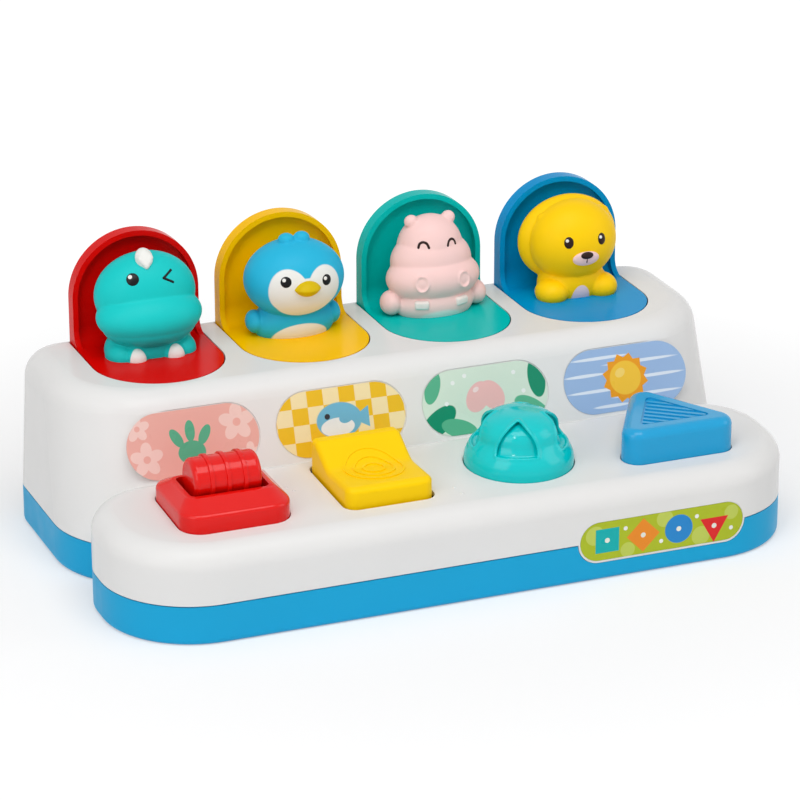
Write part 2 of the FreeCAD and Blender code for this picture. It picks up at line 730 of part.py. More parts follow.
# ---------------------------------------------------------------- animals
def figure(x, forms):
    """Soft moulded animal, cut flat where it stands on its seat."""
    body = fuse_all([ellipsoid(centre, radii) for centre, radii in forms])
    standing = box(-LID_HALF, LID_HALF, 0, DEPTH, 0, TOP_HEIGHT)
    body = body.common(standing)
    body = body.cut(rod_z(0, FIGURE_SCREW_Y, -1, FIGURE_BITE + 1, SCREW_R + THREAD_GAP))
    body.translate(V(x, 0, TOP_HEIGHT))
    return body


def both_sides(centre, radii):
    x, y, z = centre
    return [((-x, y, z), radii), ((x, y, z), radii)]


def dinosaur_figure():
    forms = [((0, 55.5, 27.0), (22.6, 15.8, 19.0)), ((0, 50.0, 17.0), (23.6, 16.5, 12.2)),
             ((0, 53.0, 4.0), (20.2, 12.4, 12.0)), ((0, 52.0, 43.5), (4.6, 4.6, 4.8))]
    forms += both_sides((9.4, 43.6, 1.8), (5.2, 5.0, 4.6))
    return figure(RED, forms)


def penguin_figure():
    forms = [((0, 51.5, 25.2), (23.2, 19.0, 18.6)), ((0, 53.0, 5.0), (19.6, 12.4, 12.0)),
             ((0, 33.2, 22.5), (4.6, 3.6, 3.0))]
    forms += both_sides((17.8, 53.0, 7.4), (4.0, 6.2, 5.8))
    forms += both_sides((3.7, 52.0, 43.8), (3.5, 3.4, 3.2))
    return figure(YELLOW, forms)


def hippo_figure():
    forms = [((0, 59.0, 27.0), (16.6, 13.2, 18.5)), ((0, 57.0, 20.0), (18.8, 13.6, 13.0)),
             ((0, 55.0, 16.5), (22.3, 14.6, 12.8)), ((0, 53.5, 4.0), (19.3, 12.4, 10.0))]
    forms += both_sides((20.2, 55.5, 8.6), (4.4, 5.2, 5.8))
    forms += both_sides((9.4, 59.5, 42.4), (3.2, 3.2, 3.4))
    return figure(TEAL, forms)


def lion_figure():
    forms = [((0, 57.6, 25.0), (24.6, 12.0, 21.0)), ((0, 52.5, 24.5), (21.4, 16.2, 19.0)),
             ((0, 53.5, 5.0), (17.0, 12.0, 12.0))]
    forms += both_sides((12.0, 48.0, 2.6), (7.4, 8.0, 5.4))
    forms += both_sides((14.0, 47.0, 37.0), (4.0, 3.0, 4.0))
    return figure(BLUE, forms)


# ---------------------------------------------------------------- release arms
def release_arm(x):
    """Head under a control, riser, bar along the tray and catch in front of the closed seat."""
    head = box(x - ARM_HEAD_HALF, x + ARM_HEAD_HALF, ARM_HEAD_FRONT, ARM_RISER_Y + ARM_PLATE,
               ARM_HEAD_Z, ARM_HEAD_TOP)
    riser = box(x - ARM_HALF, x + ARM_HALF, ARM_RISER_Y, ARM_RISER_Y + ARM_PLATE,
                ARM_BAR_Z, ARM_HEAD_TOP)
    bar = box(x - ARM_HALF, x + ARM_HALF, ARM_RISER_Y, CATCH_Y, ARM_BAR_Z, BAR_TOP)
    top = SEAT_TIP_Z + CATCH_BITE
    chamfer = CATCH_T / 2
    catch = prism_x(((CATCH_Y - CATCH_T, ARM_BAR_Z), (CATCH_Y, ARM_BAR_Z), (CATCH_Y, top),
                     (CATCH_Y - chamfer, top), (CATCH_Y - CATCH_T, top - chamfer)),
                    x - ARM_HALF, x + ARM_HALF)
    return head.fuse([riser, bar, catch]).removeSplitter()


def cam_reach():
    """Offset of the drum's round cam that lowers the arm by its travel over the turn."""
    return ARM_TRAVEL / 2 / sin_deg(DRUM_TURN / 2)


def red_arm():
    """The first arm has a pusher that reaches up into the bezel, to the drum's cam."""
    y = CONTROL_Y + cam_reach() * cos_deg(DRUM_TURN / 4)
    top = DRUM_Z + ARM_TRAVEL / 2 - CAM_R - CAM_GAP
    pusher = box(RED - PUSHER_HALF, RED + PUSHER_HALF, y - PUSHER_DEEP, y + PUSHER_DEEP,
                 ARM_HEAD_Z, top)
    return release_arm(RED).fuse(pusher).removeSplitter()


def swash_slope():
    return ARM_TRAVEL / 2 / sin_deg(KNOB_TURN / 2) / follower_reach()


def follower_reach():
    return (SLEEVE_R + SLEEVE_BORE) / 2


def teal_arm():
    """The third arm has a round-ended follower under the knob's slanted sleeve."""
    y = CONTROL_Y - follower_reach()
    touch = SWASH_Z + ARM_TRAVEL / 2 - CAM_GAP
    centre = touch - FOLLOWER_R * math.hypot(1, swash_slope())
    follower = rod_z(TEAL, y, ARM_HEAD_Z, centre, FOLLOWER_R)
    ball = Part.makeSphere(FOLLOWER_R, V(TEAL, y, centre))
    return release_arm(TEAL).fuse([follower, ball]).removeSplitter()


def arm_spring(x):
    height = ARM_HEAD_Z - POST_TOP
    pitch = (height - 2 * ARM_SPRING_WIRE) / ARM_SPRING_TURNS
    spring = coil(ARM_SPRING_R, ARM_SPRING_WIRE, pitch, height)
    spring.translate(V(x, ARM_SPRING_Y, POST_TOP))
    return spring


# ---------------------------------------------------------------- roller
def fixing_tabs(x, reach):
    """Tabs in front and behind, each with a hole for one of the deck screws."""
    tabs = []
    for side in (-1, 1):
        y = CONTROL_Y + side * FIXING_REACH
        edge = CONTROL_Y + side * reach
        tab = box(x - FIXING_R, x + FIXING_R, min(y, edge), max(y, edge), FIXING_Z,
                  FIXING_Z + FIXING_T)
        tab = tab.fuse(rod_z(x, y, FIXING_Z, FIXING_Z + FIXING_T, FIXING_R))
        tabs.append(tab.cut(rod_z(x, y, 0, TOP_HEIGHT, SCREW_R + SCREW_ROOM)))
    return tabs


def roller_bezel():
    wall = slab(bezel_outline(0, FIXING_Z), BEZEL_WALL_Z - FIXING_Z)
    crown = Part.makeLoft([bezel_outline(0, BEZEL_WALL_Z), well_outline(BEZEL_RIM, BEZEL_TOP_Z)],
                          True, True)
    body = wall.fuse(crown).removeSplitter()
    soft = edges_where(body, lambda middle: middle.z > BEZEL_WALL_Z - 0.01)
    body = body.makeFillet(BEZEL_EDGE_R, [edge for edge in soft if edge.Length > 2])
    flange = slab(bezel_outline(FLANGE_OUT, FIXING_Z), DECK_HEIGHT).common(under_deck(WALL))
    body = body.fuse([flange] + fixing_tabs(RED, BEZEL_WIDTH / 2))
    room = slab(bezel_outline(-WALL, 0), BEZEL_WALL_Z - WALL / 2)
    body = body.cut([room, slab(well_outline(0, 0), 2 * BEZEL_TOP_Z)])
    bridge_top = DRUM_Z - DRUM_R - DRUM_RIB - SLIDE_GAP
    deep = BEZEL_WIDTH / 2 - WALL / 2
    posts = []
    for side in (-1, 1):
        x0 = RED + side * DRUM_POST_X - DRUM_POST_HALF
        x1 = x0 + 2 * DRUM_POST_HALF
        posts.append(box(x0, x1, CONTROL_Y - deep, CONTROL_Y + deep, BRIDGE_Z, bridge_top))
        posts.append(box(x0, x1, CONTROL_Y - DRUM_POST_DEPTH, CONTROL_Y + DRUM_POST_DEPTH,
                         BRIDGE_Z, DRUM_Z))
        posts.append(rod_x(x0, x1, CONTROL_Y, DRUM_Z, DRUM_POST_DEPTH))
    bore = rod_x(RED - WELL_LENGTH, RED + WELL_LENGTH, CONTROL_Y, DRUM_Z, PIN_R + THREAD_GAP)
    posts = fuse_all(posts).cut(bore)
    return body.fuse(posts).removeSplitter()


def sector_x(x0, x1, start, end, radius):
    """Pie slice about the drum's axis, from one angle to another, seen from +X."""
    slice_ = Part.makeCylinder(radius, x1 - x0, V(0, 0, 0), V(0, 0, 1), end - start)
    slice_.Placement = FreeCAD.Placement(V(x0, CONTROL_Y, DRUM_Z), FreeCAD.Rotation(
        V(0, 1, 0), V(0, 0, 1), V(1, 0, 0), "XYZ"))
    slice_.rotate(V(x0, CONTROL_Y, DRUM_Z), V(1, 0, 0), start)
    return slice_


def roller_drum():
    half = DRUM_LENGTH / 2
    body = rod_x(RED - half, RED + half, CONTROL_Y, DRUM_Z, DRUM_R)
    body = body.makeFillet(DRUM_END_R, [edge for edge in body.Edges if edge.Closed])
    ribs = []
    for row in DRUM_RIB_ROWS:
        x0 = RED + row - DRUM_RIB_WIDTH / 2
        rib = rod_x(x0, x0 + DRUM_RIB_WIDTH, CONTROL_Y, DRUM_Z, DRUM_R + DRUM_RIB)
        ribs.append(rib.makeFillet(DRUM_RIB / 2, [edge for edge in rib.Edges if edge.Closed]))
    body = body.fuse(ribs)
    room_half = half - DRUM_END_R
    body = body.cut(rod_x(RED - room_half, RED + room_half, CONTROL_Y, DRUM_Z, DRUM_R - DRUM_WALL))
    hub_end = DRUM_WEB_X[1]
    inside = [rod_x(RED - hub_end, RED + hub_end, CONTROL_Y, DRUM_Z, DRUM_HUB_R)]
    for side in (-1, 1):
        x0, x1 = sorted((RED + side * DRUM_WEB_X[0], RED + side * DRUM_WEB_X[1]))
        inside.append(rod_x(x0, x1, CONTROL_Y, DRUM_Z, DRUM_R - DRUM_WALL / 2))
    cam_y = CONTROL_Y + cam_reach() * cos_deg(DRUM_TURN / 2)
    cam_z = DRUM_Z + cam_reach() * sin_deg(DRUM_TURN / 2)
    inside.append(rod_x(RED - CAM_HALF, RED + CAM_HALF, cam_y, cam_z, CAM_R))
    body = body.fuse(inside)
    reach = 2 * DRUM_R
    slots = []
    for side in (-1, 1):
        x0 = RED + side * DRUM_POST_X - DRUM_POST_HALF - SLIDE_GAP
        x1 = x0 + 2 * (DRUM_POST_HALF + SLIDE_GAP)
        slot = sector_x(x0, x1, 270 - DRUM_POST_SPREAD,
                        270 + DRUM_TURN + DRUM_POST_SPREAD, reach)
        slots.append(slot.cut(rod_x(x0, x1, CONTROL_Y, DRUM_Z, DRUM_R - DRUM_WALL - 1)))
    slot_half = PUSHER_HALF + SLIDE_GAP
    slot = sector_x(RED - slot_half, RED + slot_half, PUSHER_SLOT[0], PUSHER_SLOT[1], reach)
    slots.append(slot.cut(rod_x(RED - slot_half, RED + slot_half, CONTROL_Y, DRUM_Z,
                                DRUM_R - DRUM_WALL - 0.2)))
    bore_half = room_half + DRUM_HUB_WALL
    slots.append(rod_x(RED - bore_half, RED + bore_half, CONTROL_Y, DRUM_Z, PIN_R + TURN_GAP))
    return body.cut(slots)


def roller_axle():
    half = DRUM_LENGTH / 2 - DRUM_END_R + DRUM_HUB_WALL - SLIDE_GAP
    return rod_x(RED - half, RED + half, CONTROL_Y, DRUM_Z, PIN_R)


# ---------------------------------------------------------------- rocking key
def key_profile(inset):
    """Side view: low front, a dished flat and a crest at the back."""
    front = KEY_FRONT_Y + inset
    back = KEY_REAR_Y - inset
    crest = KEY_CREST_Z - inset
    return ((front, 0), (front + KEY_FRONT_LEAN, KEY_FRONT_Z - inset),
            (front + KEY_LIP, KEY_FRONT_Z + KEY_LIP / 4 - inset),
            (KEY_DISH_Y, KEY_DISH_Z - inset), (KEY_CREST_Y + inset / 2, crest),
            (back - KEY_BACK_DROP, crest), (back, crest - KEY_BACK_DROP), (back, 0))


def key_block(inset, bottom):
    """Body of the key with rounded corners, drawn in by an even wall."""
    half = KEY_LENGTH / 2 - inset
    block = prism_x(key_profile(inset), YELLOW - half, YELLOW + half)
    block = block.cut(box(-LENGTH, LENGTH, LOW, HIGH, -1, bottom))
    corner = KEY_CREST_Z - KEY_BACK_DROP + 0.1 - inset
    upright = edges_where(block, lambda middle: middle.z < corner
                          and abs(abs(middle.x - YELLOW) - half) < 0.001)
    upright = [edge for edge in upright if abs(edge.tangentAt(edge.FirstParameter).z) > 0.9]
    return block.makeFillet(KEY_CORNER_R - inset, upright)


def yellow_key():
    body = key_block(0, KEY_BOTTOM_Z)
    dish = edges_where(body, lambda middle: abs(middle.y - KEY_DISH_Y) < 0.001)
    body = body.makeFillet(KEY_DISH_R, dish)
    sides = KEY_LENGTH / 2 - KEY_CORNER_R - 1
    rim = edges_where(body, lambda middle: middle.z > KEY_FRONT_Z - 2 and (
        abs(middle.x - YELLOW) > sides or middle.y < KEY_DISH_Y - 15 or middle.y > KEY_CREST_Y - 1))
    body = body.makeFillet(KEY_EDGE_R, rim)
    raised = body.copy()
    raised.translate(V(0, 0, KEY_RIPPLE_RISE))
    body = body.cut(key_block(KEY_WALL, 0))
    cheeks = []
    half = KEY_LENGTH / 2
    for side in (-1, 1):
        x0, x1 = sorted((YELLOW + side * half, YELLOW + side * (half - KEY_WALL)))
        foot = KEY_PIN_Z - KEY_EAR_HALF
        cheeks.append(box(x0, x1, KEY_PIN_Y - KEY_EAR_HALF, KEY_PIN_Y + KEY_EAR_HALF - 1, foot,
                          KEY_BOTTOM_Z + 3))
    lever = ARM_TRAVEL / sin_deg(KEY_TILT)
    foot_y = KEY_PIN_Y - lever
    foot_z = ARM_HEAD_TOP + CAM_GAP + KEY_FOOT_R
    inside = [rod_z(YELLOW, foot_y, foot_z, KEY_FRONT_Z, KEY_FOOT_R),
              Part.makeSphere(KEY_FOOT_R, V(YELLOW, foot_y, foot_z))]
    for radius in KEY_RIPPLES:
        ring = tube_z(YELLOW, KEY_RIPPLE_Y, KEY_DISH_Z - KEY_WALL / 2, KEY_CREST_Z,
                      radius + KEY_RIPPLE_WIDTH, radius)
        inside.append(ring.common(raised))
    body = body.fuse(cheeks + inside)
    body = body.cut(rod_x(YELLOW - half - 1, YELLOW + half + 1, KEY_PIN_Y, KEY_PIN_Z,
                          PIN_R + TURN_GAP))
    return body.removeSplitter()


def key_pin():
    half = key_pin_half()
    return rod_x(YELLOW - half, YELLOW + half, KEY_PIN_Y, KEY_PIN_Z, PIN_R)


# ---------------------------------------------------------------- turning knob
def knob_bell(inset, bottom):
    """Solid of revolution under the dome's outline, drawn in by an even wall."""
    points = []
    for index, (radius, height) in enumerate(KNOB_BELL):
        before = KNOB_BELL[max(index - 1, 0)]
        after = KNOB_BELL[min(index + 1, len(KNOB_BELL) - 1)]
        outward = V(after[1] - before[1], 0, before[0] - after[0]).normalize()
        if index == 0:
            outward = V(1, 0, 0)
        elif after[0] == 0 and radius == 0:
            outward = V(0, 0, 1)
        points.append(V(radius, 0, height) - outward * inset)
    curve = Part.BSplineCurve()
    curve.interpolate(Points=points, InitialTangent=V(0, 0, 1), FinalTangent=V(-1, 0, 0))
    start, end = points[0], points[-1]
    low, axis = V(start.x, 0, bottom), V(0, 0, bottom)
    sides = [curve.toShape(), Part.makeLine(end, axis), Part.makeLine(axis, low), Part.makeLine(low, start)]
    return Part.Face(Part.Wire(sides)).revolve(V(0, 0, 0), V(0, 0, 1), 360)


def knob_arch(quarter):
    """Pointed arch from the axis outwards, on one of the four sides."""
    radius = (KNOB_ARCH_RISE ** 2 + KNOB_ARCH_HALF ** 2) / KNOB_ARCH_HALF / 2
    bend = math.asin(KNOB_ARCH_RISE / radius) / 2
    across = KNOB_ARCH_HALF - radius + radius * math.cos(bend)
    height = KNOB_ARCH_Z + radius * math.sin(bend)
    tip = V(0, 0, KNOB_ARCH_Z + KNOB_ARCH_RISE)
    left, right = (V(side * KNOB_ARCH_HALF, 0, KNOB_ARCH_Z) for side in (-1, 1))
    sides = [Part.Arc(left, V(-across, 0, height), tip).toShape(),
             Part.Arc(tip, V(across, 0, height), right).toShape(), Part.makeLine(right, left)]
    arch = Part.Face(Part.Wire(sides)).extrude(V(0, -2 * KNOB_R, 0))
    arch.rotate(V(0, 0, 0), V(0, 0, 1), KNOB_FACE_TURN + 90 * quarter)
    return arch


def twist_knob():
    ledge = KNOB_ARCH_Z - KNOB_WALL
    body = knob_bell(0, KNOB_FOOT_Z).cut([knob_arch(quarter) for quarter in range(4)])
    body = body.fuse(knob_bell(KNOB_ARCH_SUNK, ledge))
    below = box(-KNOB_R, KNOB_R, -KNOB_R, KNOB_R, 0, ledge)
    body = body.cut([knob_bell(KNOB_ARCH_SUNK + KNOB_WALL, ledge - KNOB_WALL),
                     knob_bell(KNOB_WALL, KNOB_FOOT_Z - 1).common(below)])
    body.translate(V(TEAL, CONTROL_Y, 0))
    top = deck_z(CONTROL_Y - KNOB_R) - WALL - FLANGE_DROP
    flange = tube_z(TEAL, CONTROL_Y, KNOB_FOOT_Z, top, KNOB_R + FLANGE_OUT, KNOB_R - 1)
    boss = rod_z(TEAL, CONTROL_Y, CAM_DISC_Z + CAM_DISC_T, KNOB_TOP_Z - KNOB_WALL / 2, KNOB_BOSS_R)
    body = body.fuse([flange, boss])
    bore = rod_z(TEAL, CONTROL_Y, 0, CAM_DISC_Z + CAM_DISC_T + BOSS_BITE + 1, SCREW_R + THREAD_GAP)
    return body.cut(bore).removeSplitter()


def knob_cam():
    """Disc screwed under the knob, with a sleeve that ends in a slanted plane."""
    disc = rod_z(TEAL, CONTROL_Y, CAM_DISC_Z, CAM_DISC_Z + CAM_DISC_T, KNOB_R - KNOB_WALL - FIT_GAP)
    sleeve = tube_z(TEAL, CONTROL_Y, 0, CAM_DISC_Z + CAM_DISC_T / 2, SLEEVE_R, SLEEVE_BORE)
    below = box(-LENGTH, LENGTH, -LENGTH, LENGTH, -LENGTH, 0)
    below.rotate(V(0, 0, 0), V(0, 1, 0), -math.degrees(math.atan(swash_slope())))
    below.rotate(V(0, 0, 0), V(0, 0, 1), KNOB_TURN / 2 - 180)
    below.translate(V(TEAL, CONTROL_Y, SWASH_Z))
    body = disc.fuse(sleeve.cut(below))
    return body.cut(rod_z(TEAL, CONTROL_Y, 0, TOP_HEIGHT, SCREW_R + SCREW_ROOM)).removeSplitter()


def knob_screw():
    return screw(TEAL, CONTROL_Y, CAM_DISC_Z, CAM_DISC_T + BOSS_BITE)


def knob_collar():
    """Cup under the deck that carries the knob and lets its sleeve through."""
    outer = KNOB_R + FLANGE_OUT + 2 * SLIDE_GAP + COLLAR_RIM
    step_z = KNOB_FOOT_Z - CAM_GAP
    floor = tube_z(TEAL, CONTROL_Y, COLLAR_Z, COLLAR_Z + COLLAR_T, outer, SLEEVE_R + SLIDE_GAP)
    step = tube_z(TEAL, CONTROL_Y, COLLAR_Z, step_z, outer, COLLAR_STEP_R)
    rim = tube_z(TEAL, CONTROL_Y, COLLAR_Z, DECK_HEIGHT, outer, outer - COLLAR_RIM)
    body = floor.fuse([step, rim.common(under_deck(WALL))])
    return body.fuse(fixing_tabs(TEAL, outer - COLLAR_RIM)).removeSplitter()


def knob_spring():
    height = CAM_DISC_Z - COLLAR_Z - COLLAR_T
    spring = coil(KNOB_SPRING_R, KNOB_SPRING_WIRE, 3 * KNOB_SPRING_WIRE, height - 2 * CAM_GAP)
    spring.translate(V(TEAL, CONTROL_Y, COLLAR_Z + COLLAR_T))
    return spring


# ---------------------------------------------------------------- push button
def blue_button():
    flange_top = deck_z(BUTTON_FRONT_Y - HOLE_GAP) - WALL - FLANGE_DROP
    foot = flange_top - FLANGE_T
    body = slab(button_outline(0, foot), BUTTON_TOP_Z - foot)
    rim = edges_where(body, lambda middle: middle.z > BUTTON_TOP_Z - 0.01)
    body = body.makeFillet(BUTTON_EDGE_R, rim)
    shelf = BUTTON_TOP_Z - BUTTON_EDGE_R - BUTTON_WALL
    room = [slab(button_outline(-BUTTON_WALL, 0), shelf)]
    panel = slab(inner_triangle(PANEL_MARGIN, PANEL_R, BUTTON_TOP_Z - PANEL_DEPTH), TOP_HEIGHT)
    body = body.cut(room + [panel])
    ridges = []
    middle = (BUTTON_FRONT_Y * 2 + BUTTON_APEX_Y) / 3
    for index in range(PANEL_RIDGES):
        y = (index - (PANEL_RIDGES - 1) / 2) * PANEL_RIDGE_STEP
        ridge = box(-BUTTON_HALF, BUTTON_HALF, y - PANEL_RIDGE_WIDTH / 2, y + PANEL_RIDGE_WIDTH / 2,
                    -2 * PANEL_DEPTH, PANEL_RIDGE_RISE - PANEL_DEPTH)
        ridge.rotate(V(0, 0, 0), V(0, 0, 1), PANEL_RIDGE_TURN)
        ridge.translate(V(BLUE, middle, BUTTON_TOP_Z))
        ridges.append(ridge)
    field = slab(inner_triangle(PANEL_MARGIN + PANEL_EDGE, PANEL_R - PANEL_EDGE / 2, shelf), TOP_HEIGHT)
    ridges = fuse_all(ridges).common(field)
    flange = slab(button_outline(FLANGE_OUT, foot), FLANGE_T).cut(
        slab(button_outline(-BUTTON_WALL, 0), TOP_HEIGHT))
    stem = rod_z(BLUE, BUTTON_STEM_Y, ARM_HEAD_TOP, shelf + BUTTON_WALL / 2, BUTTON_STEM_R)
    return body.fuse([ridges, flange, stem]).removeSplitter()


# ---------------------------------------------------------------- all pieces
def all_pieces():
    pieces = {"top_shell": top_shell(), "base_tray": base_tray(), "case_screws": case_screws(),
              "deck_screws": deck_screws(), "front_label": front_label(),
              "roller_bezel": roller_bezel(), "roller_drum": roller_drum(),
              "roller_axle": roller_axle(), "yellow_key": yellow_key(), "key_pin": key_pin(),
              "twist_knob": twist_knob(), "knob_cam": knob_cam(), "knob_screw": knob_screw(),
              "knob_collar": knob_collar(), "knob_spring": knob_spring(),
              "blue_button": blue_button(), "dinosaur_figure": dinosaur_figure(),
              "penguin_figure": penguin_figure(), "hippo_figure": hippo_figure(),
              "lion_figure": lion_figure(), "release_arm_1": red_arm(),
              "release_arm_2": release_arm(YELLOW), "release_arm_3": teal_arm(),
              "release_arm_4": release_arm(BLUE)}
    for number, (colour, x) in enumerate(zip(("red", "yellow", "teal", "blue"), LANES), 1):
        pieces["lid_" + colour] = lid(x)
        pieces["sticker_" + colour] = sticker(x)
        pieces["hinge_pin_%d" % number] = hinge_pin(x)
        pieces["lid_spring_%d" % number] = lid_spring(x)
        pieces["figure_screw_%d" % number] = figure_screw(x)
        pieces["arm_spring_%d" % number] = arm_spring(x)
    return pieces


os.makedirs("parts", exist_ok=True)
for name, shape in all_pieces().items():
    shape.exportStep("parts/" + name + ".step")
    print(name, shape.isValid(), len(shape.Solids), round(shape.Volume, 1))
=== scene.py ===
import json
import math

import bpy
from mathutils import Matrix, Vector
from mathutils.geometry import interpolate_bezier


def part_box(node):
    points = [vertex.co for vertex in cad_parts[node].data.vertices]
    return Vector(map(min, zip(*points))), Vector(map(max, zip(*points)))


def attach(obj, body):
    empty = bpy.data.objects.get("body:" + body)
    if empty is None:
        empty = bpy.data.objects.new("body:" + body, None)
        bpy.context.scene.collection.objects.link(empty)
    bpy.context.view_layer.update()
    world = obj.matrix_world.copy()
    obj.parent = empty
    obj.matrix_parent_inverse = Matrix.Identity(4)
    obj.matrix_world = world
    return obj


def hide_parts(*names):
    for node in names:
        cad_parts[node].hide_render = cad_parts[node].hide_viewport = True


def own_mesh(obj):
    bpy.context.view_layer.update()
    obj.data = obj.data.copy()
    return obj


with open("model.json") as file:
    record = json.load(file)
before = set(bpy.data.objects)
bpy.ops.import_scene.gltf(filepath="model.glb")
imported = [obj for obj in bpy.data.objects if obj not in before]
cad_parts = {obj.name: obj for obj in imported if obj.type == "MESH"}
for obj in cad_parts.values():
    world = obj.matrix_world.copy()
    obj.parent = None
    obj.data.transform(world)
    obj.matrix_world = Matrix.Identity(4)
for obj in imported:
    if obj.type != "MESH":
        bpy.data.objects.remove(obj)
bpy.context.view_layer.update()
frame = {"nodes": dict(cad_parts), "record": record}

# Looks of the pop up animal toy: painted vinyl animals, a moulded knob, printed stickers and
# the plastic of every other part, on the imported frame. Places and sizes are in millimetres
# in the frame's own directions, and are turned into metres where a piece is made.

bl_info = {
    "name": "Pop up animal toy",
    "version": (1, 0, 0),
    "blender": (4, 5, 0),
    "location": "3D View > Sidebar > Toy",
    "description": "Builds the animals, controls, prints and finishes of a pop up toy",
    "category": "Object",
}

MM = 0.001
COLOURS = ("red", "yellow", "teal", "blue")
LANES = [sum(corner.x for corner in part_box("lid_" + colour)) / 2 / MM for colour in COLOURS]
RED, YELLOW, TEAL, BLUE = LANES
SEAT_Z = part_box("dinosaur_figure")[0].z / MM
KNOB_LOW, KNOB_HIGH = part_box("twist_knob")
KNOB_Y = (KNOB_LOW.y + KNOB_HIGH.y) / 2 / MM
STICKER_TILT = math.radians(72)

# grids on which small pieces are blended
LINE_GRID = 0.12
BEAK_GRID = 0.25
CREST_GRID = 0.3
KNOB_GRID = 0.42


# ---------------------------------------------------------------- settings
def length_setting(name, text, default):
    return bpy.props.FloatProperty(name=name, description=text, default=default, min=0.0,
                                   precision=4, subtype="DISTANCE", unit="LENGTH")


def colour_setting(name, text, default):
    return bpy.props.FloatVectorProperty(name=name, description=text, default=default, size=3,
                                         min=0.0, max=1.0, subtype="COLOR")


class ToySizes(bpy.types.PropertyGroup):
    voxel: length_setting("Vinyl detail", "Grid on which the animals are blended", 0.45 * MM)
    stroke: length_setting("Stroke", "Half width of a drawn eye line", 0.72 * MM)
    dot: length_setting("Deck dot", "Radius of a raised dot on the deck", 0.8 * MM)
    lip: length_setting("Knob lip", "Half width of the raised edge of each arch", 0.8 * MM)


class ToyColours(bpy.types.PropertyGroup):
    shell: colour_setting("Shell", "White of the upper casing", (0.78, 0.77, 0.755))
    tray: colour_setting("Tray", "Sky blue of the lower casing", (0.01, 0.37, 0.66))
    red: colour_setting("Red", "Red lid", (0.72, 0.002, 0.001))
    yellow: colour_setting("Yellow", "Yellow lid", (1.0, 0.55, 0.0))
    teal: colour_setting("Teal", "Teal lid", (0.0, 0.50, 0.46))
    blue: colour_setting("Blue", "Blue lid", (0.0, 0.29, 0.63))
    roller: colour_setting("Roller", "Red of the roller and its frame", (0.76, 0.004, 0.002))
    key: colour_setting("Key", "Yellow of the rocking key", (0.98, 0.63, 0.001))
    knob: colour_setting("Knob", "Teal of the turning knob", (0.0, 0.57, 0.58))
    button: colour_setting("Button", "Blue of the push button", (0.01, 0.35, 0.66))
    dinosaur: colour_setting("Dinosaur", "Vinyl of the dinosaur", (0.008, 0.57, 0.55))
    penguin: colour_setting("Penguin", "Vinyl of the penguin", (0.02, 0.45, 0.69))
    hippo: colour_setting("Hippo", "Vinyl of the hippo", (0.93, 0.63, 0.60))
    lion: colour_setting("Lion", "Vinyl of the lion", (1.0, 0.62, 0.001))
    cream: colour_setting("Cream", "White paint on the animals", (0.82, 0.82, 0.78))
    beak: colour_setting("Beak", "Gold paint of the beak", (0.68, 0.47, 0.0))
    black: colour_setting("Black", "Paint of the eyes", (0.002, 0.002, 0.003))
    brown: colour_setting("Brown", "Paint of the lion's and the hippo's eyes", (0.02, 0.006, 0.004))


# ---------------------------------------------------------------- modelling
def deselect():
    if bpy.context.mode != "OBJECT":
        bpy.ops.object.mode_set(mode="OBJECT")
    bpy.ops.object.select_all(action="DESELECT")


def pick(piece):
    deselect()
    piece.select_set(True)
    bpy.context.view_layer.objects.active = piece


def metres(values):
    return tuple(value * MM for value in values)


def ball(at, radii, turn=(0, 0, 0), segments=64, rings=40):
    """Ellipsoid at a place, with three radii along its own turned directions."""
    deselect()
    bpy.ops.mesh.primitive_uv_sphere_add(segments=segments, ring_count=rings, radius=1.0,
                                         location=metres(at), rotation=turn)
    piece = bpy.context.object
    piece.scale = metres(radii)
    bpy.ops.object.transform_apply(location=True, rotation=True, scale=True)
    return piece


def ring(at, radius, thick, flat=(1, 1, 1), turn=(0, 0, 0)):
    """Torus at a place, flattened along its own turned directions."""
    deselect()
    bpy.ops.mesh.primitive_torus_add(location=metres(at), rotation=turn, major_radius=radius * MM,
                                     minor_radius=thick * MM, major_segments=64, minor_segments=20)
    piece = bpy.context.object
    piece.scale = flat
    bpy.ops.object.transform_apply(location=True, rotation=True, scale=True)
    return piece


def join(parts, name):
    deselect()
    for part in parts:
        part.select_set(True)
    bpy.context.view_layer.objects.active = parts[0]
    if len(parts) > 1:
        bpy.ops.object.join()
    whole = bpy.context.object
    whole.name = name
    whole.data.name = name
    return whole


def finish_with(piece, kind, **values):
    """Adds one modifier and applies it."""
    pick(piece)
    modifier = piece.modifiers.new(kind.title(), kind)
    for key, value in values.items():
        setattr(modifier, key, value)
    bpy.ops.object.modifier_apply(modifier=modifier.name)


def smooth(piece, angle=None):
    pick(piece)
    if angle is None:
        bpy.ops.object.shade_smooth()
    else:
        bpy.ops.object.shade_smooth_by_angle(angle=math.radians(angle))


def cut_flat(piece, height):
    """Cuts a closed piece flat at a height and keeps what is above."""
    pick(piece)
    bpy.ops.object.mode_set(mode="EDIT")
    bpy.ops.mesh.select_all(action="SELECT")
    bpy.ops.mesh.bisect(plane_co=(0, 0, height * MM), plane_no=(0, 0, 1), use_fill=True,
                        clear_inner=True)
    bpy.ops.object.mode_set(mode="OBJECT")


def edit_outline(places, **options):
    """Closed outline through places given in millimetres, left selected in edit mode."""
    deselect()
    bpy.ops.mesh.primitive_circle_add(vertices=len(places), radius=1.0, location=(0, 0, 0), **options)
    piece = bpy.context.object
    for vertex, place in zip(piece.data.vertices, places):
        vertex.co = metres(place)
    bpy.ops.object.mode_set(mode="EDIT")
    bpy.ops.mesh.select_all(action="SELECT")
    return piece


def end_edit():
    """Faces outward, and back out of edit mode."""
    bpy.ops.mesh.select_all(action="SELECT")
    bpy.ops.mesh.normals_make_consistent(inside=False)
    bpy.ops.object.mode_set(mode="OBJECT")


